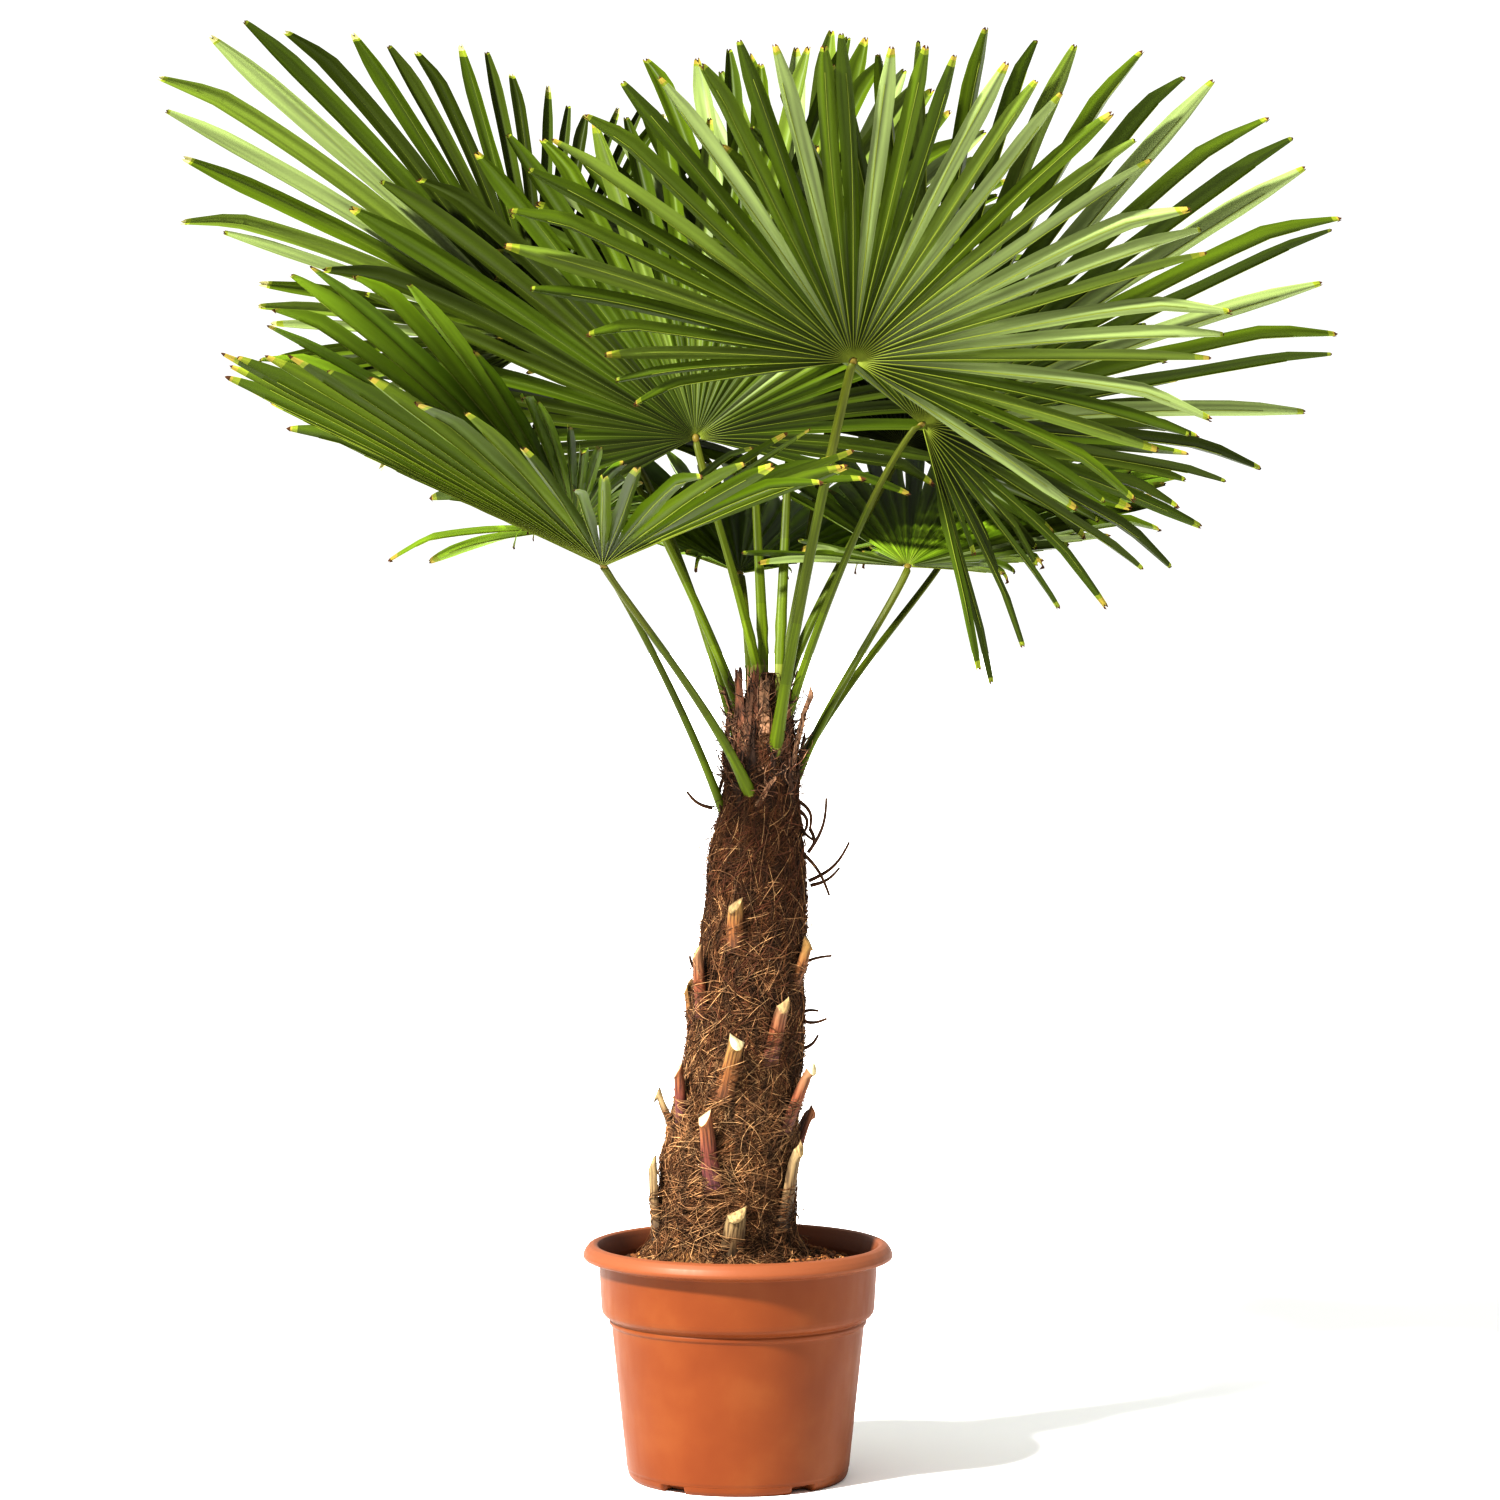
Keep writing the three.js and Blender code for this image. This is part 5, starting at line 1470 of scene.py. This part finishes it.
    def grow_rib(self, joined: JoinedMesh, leaflet: int, splits: Sequence[float], free: Sequence[Sequence[Vector]]) -> None:
        """Adds the raised rib under a leaflet's fold, from the hub to near its tip."""
        line = [self.web_point(leaflet, 0.0, share, splits) for share in (0.0, 0.3, 0.6, 0.9)]
        line += [row[2] for row in free[:7]]
        under = -self.fan.spot(self.fan.turn_at(leaflet + 0.5), 100, 400)[1]
        line = [place + under * 0.25 for place in line]
        radii = [mix(0.85, 0.4, k / (len(line) - 1)) for k in range(len(line))]
        joined.tube(line, radii, RIB)

    def build(self) -> None:
        """Builds the fan as one piece that stands for its packed frond."""
        joined = JoinedMesh()
        self.grow(joined)
        piece = joined.build(f"fan_blades_{self.fan.plan.number}", LEAF_GREENS)
        settle(piece, "leaf", self.fan.node)


@dataclass
class Stalks:
    """The long leaf stalks: flattened, grooved above, bright at the foot, with a small crest at the hub."""

    trunk: Trunk
    fans: Sequence[Fan]
    sides: int = 12
    steps: int = 26
    thin: tuple[tuple[float, float], ...] = ((0, 8.4), (0.12, 6.2), (0.5, 4.6), (1, 4.4))
    broad: tuple[tuple[float, float], ...] = ((0, 8.8), (0.12, 6.8), (0.5, 6), (1, 5))
    deep: tuple[tuple[float, float], ...] = ((0, 5.4), (0.12, 4.8), (0.5, 3.8), (1, 3))
    slim: float = 0.96
    root_step: float = 9.0

    SKIN = (
        StalkSkin("stalk_foot", "#4e5b08"),
        StalkSkin("stalk_low", "#475309"),
        StalkSkin("stalk_green", "#424b0c"),
        StalkSkin("stalk_olive", "#4a4f12"),
        StalkSkin("stalk_crest", "#675a24", 0.6),
        StalkSkin("stalk_root", "#696f2b", 0.6),
    )

    def line(self, fan: Fan) -> tuple[list[Vector], Vector, bool]:
        """Returns the four points of the stalk's curve, the width's direction at its foot, and if it is on the tip."""
        end = fan.hub - fan.axis * (HUB_BACK + 0.3)
        on_tip = fan.plan.on_tip
        if on_tip:
            outward = Vector((0, 0, 1))
            foot = Vector((self.trunk.x_at(905) + fan.plan.foot[0], fan.plan.foot[1], 905.3))
        else:
            turn = math.radians(fan.plan.foot[0])
            outward = Vector((math.cos(turn), math.sin(turn), 0))
            z = fan.plan.foot[1]
            foot = Vector((self.trunk.x_at(z), 0, z)) + outward * self.trunk.r_at(z)
            table = self.broad if fan.plan.stout else self.thin
            across = Vector((-outward.y, outward.x, 0))
            ring = [
                foot + across * (table[0][1] * math.cos(a)) + Z_AXIS * (self.deep[0][1] * 2 * math.sin(a))
                for a in np.linspace(0, math.tau, 60)
            ]
            foot = foot + outward * self.trunk.seat_slide(np.array([tuple(p) for p in ring]), outward)
        reach = (end - foot).length
        chord = (end - foot).normalized()
        start = (chord + Z_AXIS * (0.25 if on_tip else 0.35)).normalized()
        arrive = (chord * 0.75 + fan.axis * 0.45).normalized()
        base = Z_AXIS.cross(chord).normalized() if on_tip else Vector((-outward.y, outward.x, 0))
        return [foot, foot + start * (reach * 0.3), end - arrive * (reach * 0.22), end], base, on_tip

    @staticmethod
    def on_curve(curve: Sequence[Vector], t: float) -> Vector:
        """Returns a point of the cubic curve."""
        a, b, c, d = curve
        s = 1 - t
        return a * s**3 + b * (3 * s * s * t) + c * (3 * s * t * t) + d * t**3

    def grow(self, joined: JoinedMesh, fan: Fan) -> None:
        """Adds one stalk, sunk a little into the felt, and its crest at the hub."""
        curve, base, on_tip = self.line(fan)
        flip = -1 if base.dot(fan.side) < 0 else 1
        final = fan.side * flip
        table = self.broad if fan.plan.stout else self.thin
        long = (curve[3] - curve[0]).length
        rows, kinds = [], []
        for k in range(-4, self.steps + 2):
            t = max(0.0, min(1.0, k / self.steps))
            place = self.on_curve(curve, t)
            ahead = self.on_curve(curve, min(1, t + 0.01)) - self.on_curve(curve, max(0, t - 0.01))
            along = ahead.normalized()
            root = max(0, -k)
            if k > self.steps:
                place = place + fan.axis * ((k - self.steps) * 7.0) - fan.up * 1.2
            place = place + along * (-root * self.root_step * (1.6 if on_tip else 1.0))
            wish = base * (1 - t) + final * t
            side = (wish - along * wish.dot(along)).normalized()
            deep_way = along.cross(side).normalized()
            wide = read(table, t) * self.slim * (0.75 if on_tip and t < 0.05 else 1.0) * (0.7 if k > self.steps else 1.0)
            wide *= 1 - 0.13 * root
            deep = read(self.deep, t) * (0.8 if k > self.steps else 1.0)
            row = []
            for s in range(self.sides):
                angle = math.tau * (s + 0.5) / self.sides
                groove = 0.72 if math.sin(angle) > 0.8 else 1.0
                spot = place + side * (wide * math.cos(angle)) + deep_way * (deep * groove * math.sin(angle))
                row.append(joined.point(spot, 6 * angle + 40 * fan.plan.number, t * long))
            rows.append(row)
            kinds.append(5 if root > 1 else 0 if t < 0.13 else 1 if t < 0.3 else 2 if t < 0.62 else 3)
        joined.grid(rows, kinds[:-1], ring=True)
        joined.face(tuple(reversed(rows[0])), 0)
        joined.face(tuple(rows[-1]), 3)
        self.grow_crest(joined, fan)

    def grow_crest(self, joined: JoinedMesh, fan: Fan) -> None:
        """Adds the small crest where the stalk meets the blade, on the upper side."""
        rows = []
        for level, grow in ((-1.6, 0.4), (0.4, 0.62), (1.8, 0.45), (2.6, 0.2)):
            row = []
            for s in range(10):
                angle = math.tau * s / 10
                spread = fan.axis * (9.5 * grow * math.cos(angle) - 1.0) + fan.side * (7.0 * grow * math.sin(angle))
                row.append(joined.point(fan.hub + spread + fan.up * level))
            rows.append(row)
        joined.grid(rows, [4] * 3, ring=True)
        joined.face(tuple(reversed(rows[0])), 4)
        joined.face(tuple(rows[-1]), 4)

    def build(self) -> None:
        """Builds all the stalks as one piece."""
        joined = JoinedMesh()
        for fan in self.fans:
            self.grow(joined, fan)
        settle(joined.build("leaf_stalks", self.SKIN), "stalk", *[f"stalk_{fan.plan.number}" for fan in self.fans])


@dataclass
class Studio:
    """The pale floor, the soft light and the camera at the photograph's viewing angle."""

    focal_px: float = 4545.0
    frame_px: float = 1500.0
    axis_px: float = 738.0
    horizon_px: float = 585.0
    stand: tuple[float, float, float] = (0.0, -5.0, 0.98)
    sensor_mm: float = 36.0
    floor_m: float = 60.0

    def build_floor(self) -> None:
        """Lays the floor."""
        bm = bmesh.new()
        bmesh.ops.create_grid(bm, x_segments=8, y_segments=8, size=self.floor_m)
        floor = from_bmesh(bm, "studio_floor", StudioFloor())

    def add_sun(self, name: str, way: tuple[float, float, float], strength: float, spread: float) -> None:
        """Adds a soft distant light that shines along a direction."""
        light = bpy.data.lights.new(name, "SUN")
        light.energy = strength
        light.angle = math.radians(spread)
        obj = bpy.data.objects.new(name, light)
        obj.rotation_mode = "QUATERNION"
        obj.rotation_quaternion = Vector(way).to_track_quat("-Z", "Y")
        bpy.context.scene.collection.objects.link(obj)

    def build_light(self) -> None:
        """Sets the sky and the lamps."""
        world = bpy.data.worlds.new("studio_sky")
        world.use_nodes = True
        sky = next(node for node in world.node_tree.nodes if node.type == "BACKGROUND")
        sky.inputs["Color"].default_value = linear("#ffffff")
        sky.inputs["Strength"].default_value = 1.1
        bpy.context.scene.world = world
        self.add_sun("key_light", (0.53, 0.5, -0.68), 13.6, 6)
        bpy.context.scene.view_settings.view_transform = "Standard"
        bpy.context.scene.view_settings.gamma = 0.74

    def build_camera(self) -> None:
        """Sets the camera so that the pot's axis and the horizon fall where the photograph has them."""
        data = bpy.data.cameras.new("camera")
        data.sensor_width = self.sensor_mm
        data.lens = self.sensor_mm * self.focal_px / self.frame_px
        data.clip_start = 0.05
        data.clip_end = 200.0
        camera = bpy.data.objects.new("camera", data)
        centre = self.frame_px / 2
        data.shift_x = (centre - self.axis_px) / self.frame_px
        data.shift_y = (self.horizon_px - centre) / self.frame_px
        camera.rotation_euler = (math.pi / 2, 0.0, 0.0)
        camera.location = self.stand
        bpy.context.scene.collection.objects.link(camera)
        bpy.context.scene.camera = camera

    def build(self) -> None:
        """Builds the studio."""
        self.build_floor()
        self.build_light()
        self.build_camera()


def main() -> None:
    """Builds every piece in order."""
    logging.basicConfig(level=logging.INFO, format="%(name)s %(message)s")
    Studio().build()
    Pot().build()
    Soil().build()
    trunk = Trunk()
    trunk.build()
    LeafBases(trunk).build()
    TornSheaths(trunk).build()
    fans = [Fan(plan) for plan in FANS]
    Stalks(trunk, fans).build()
    for fan in fans:
        FanBlades(fan).build()


if __name__ == "__main__":
    main()
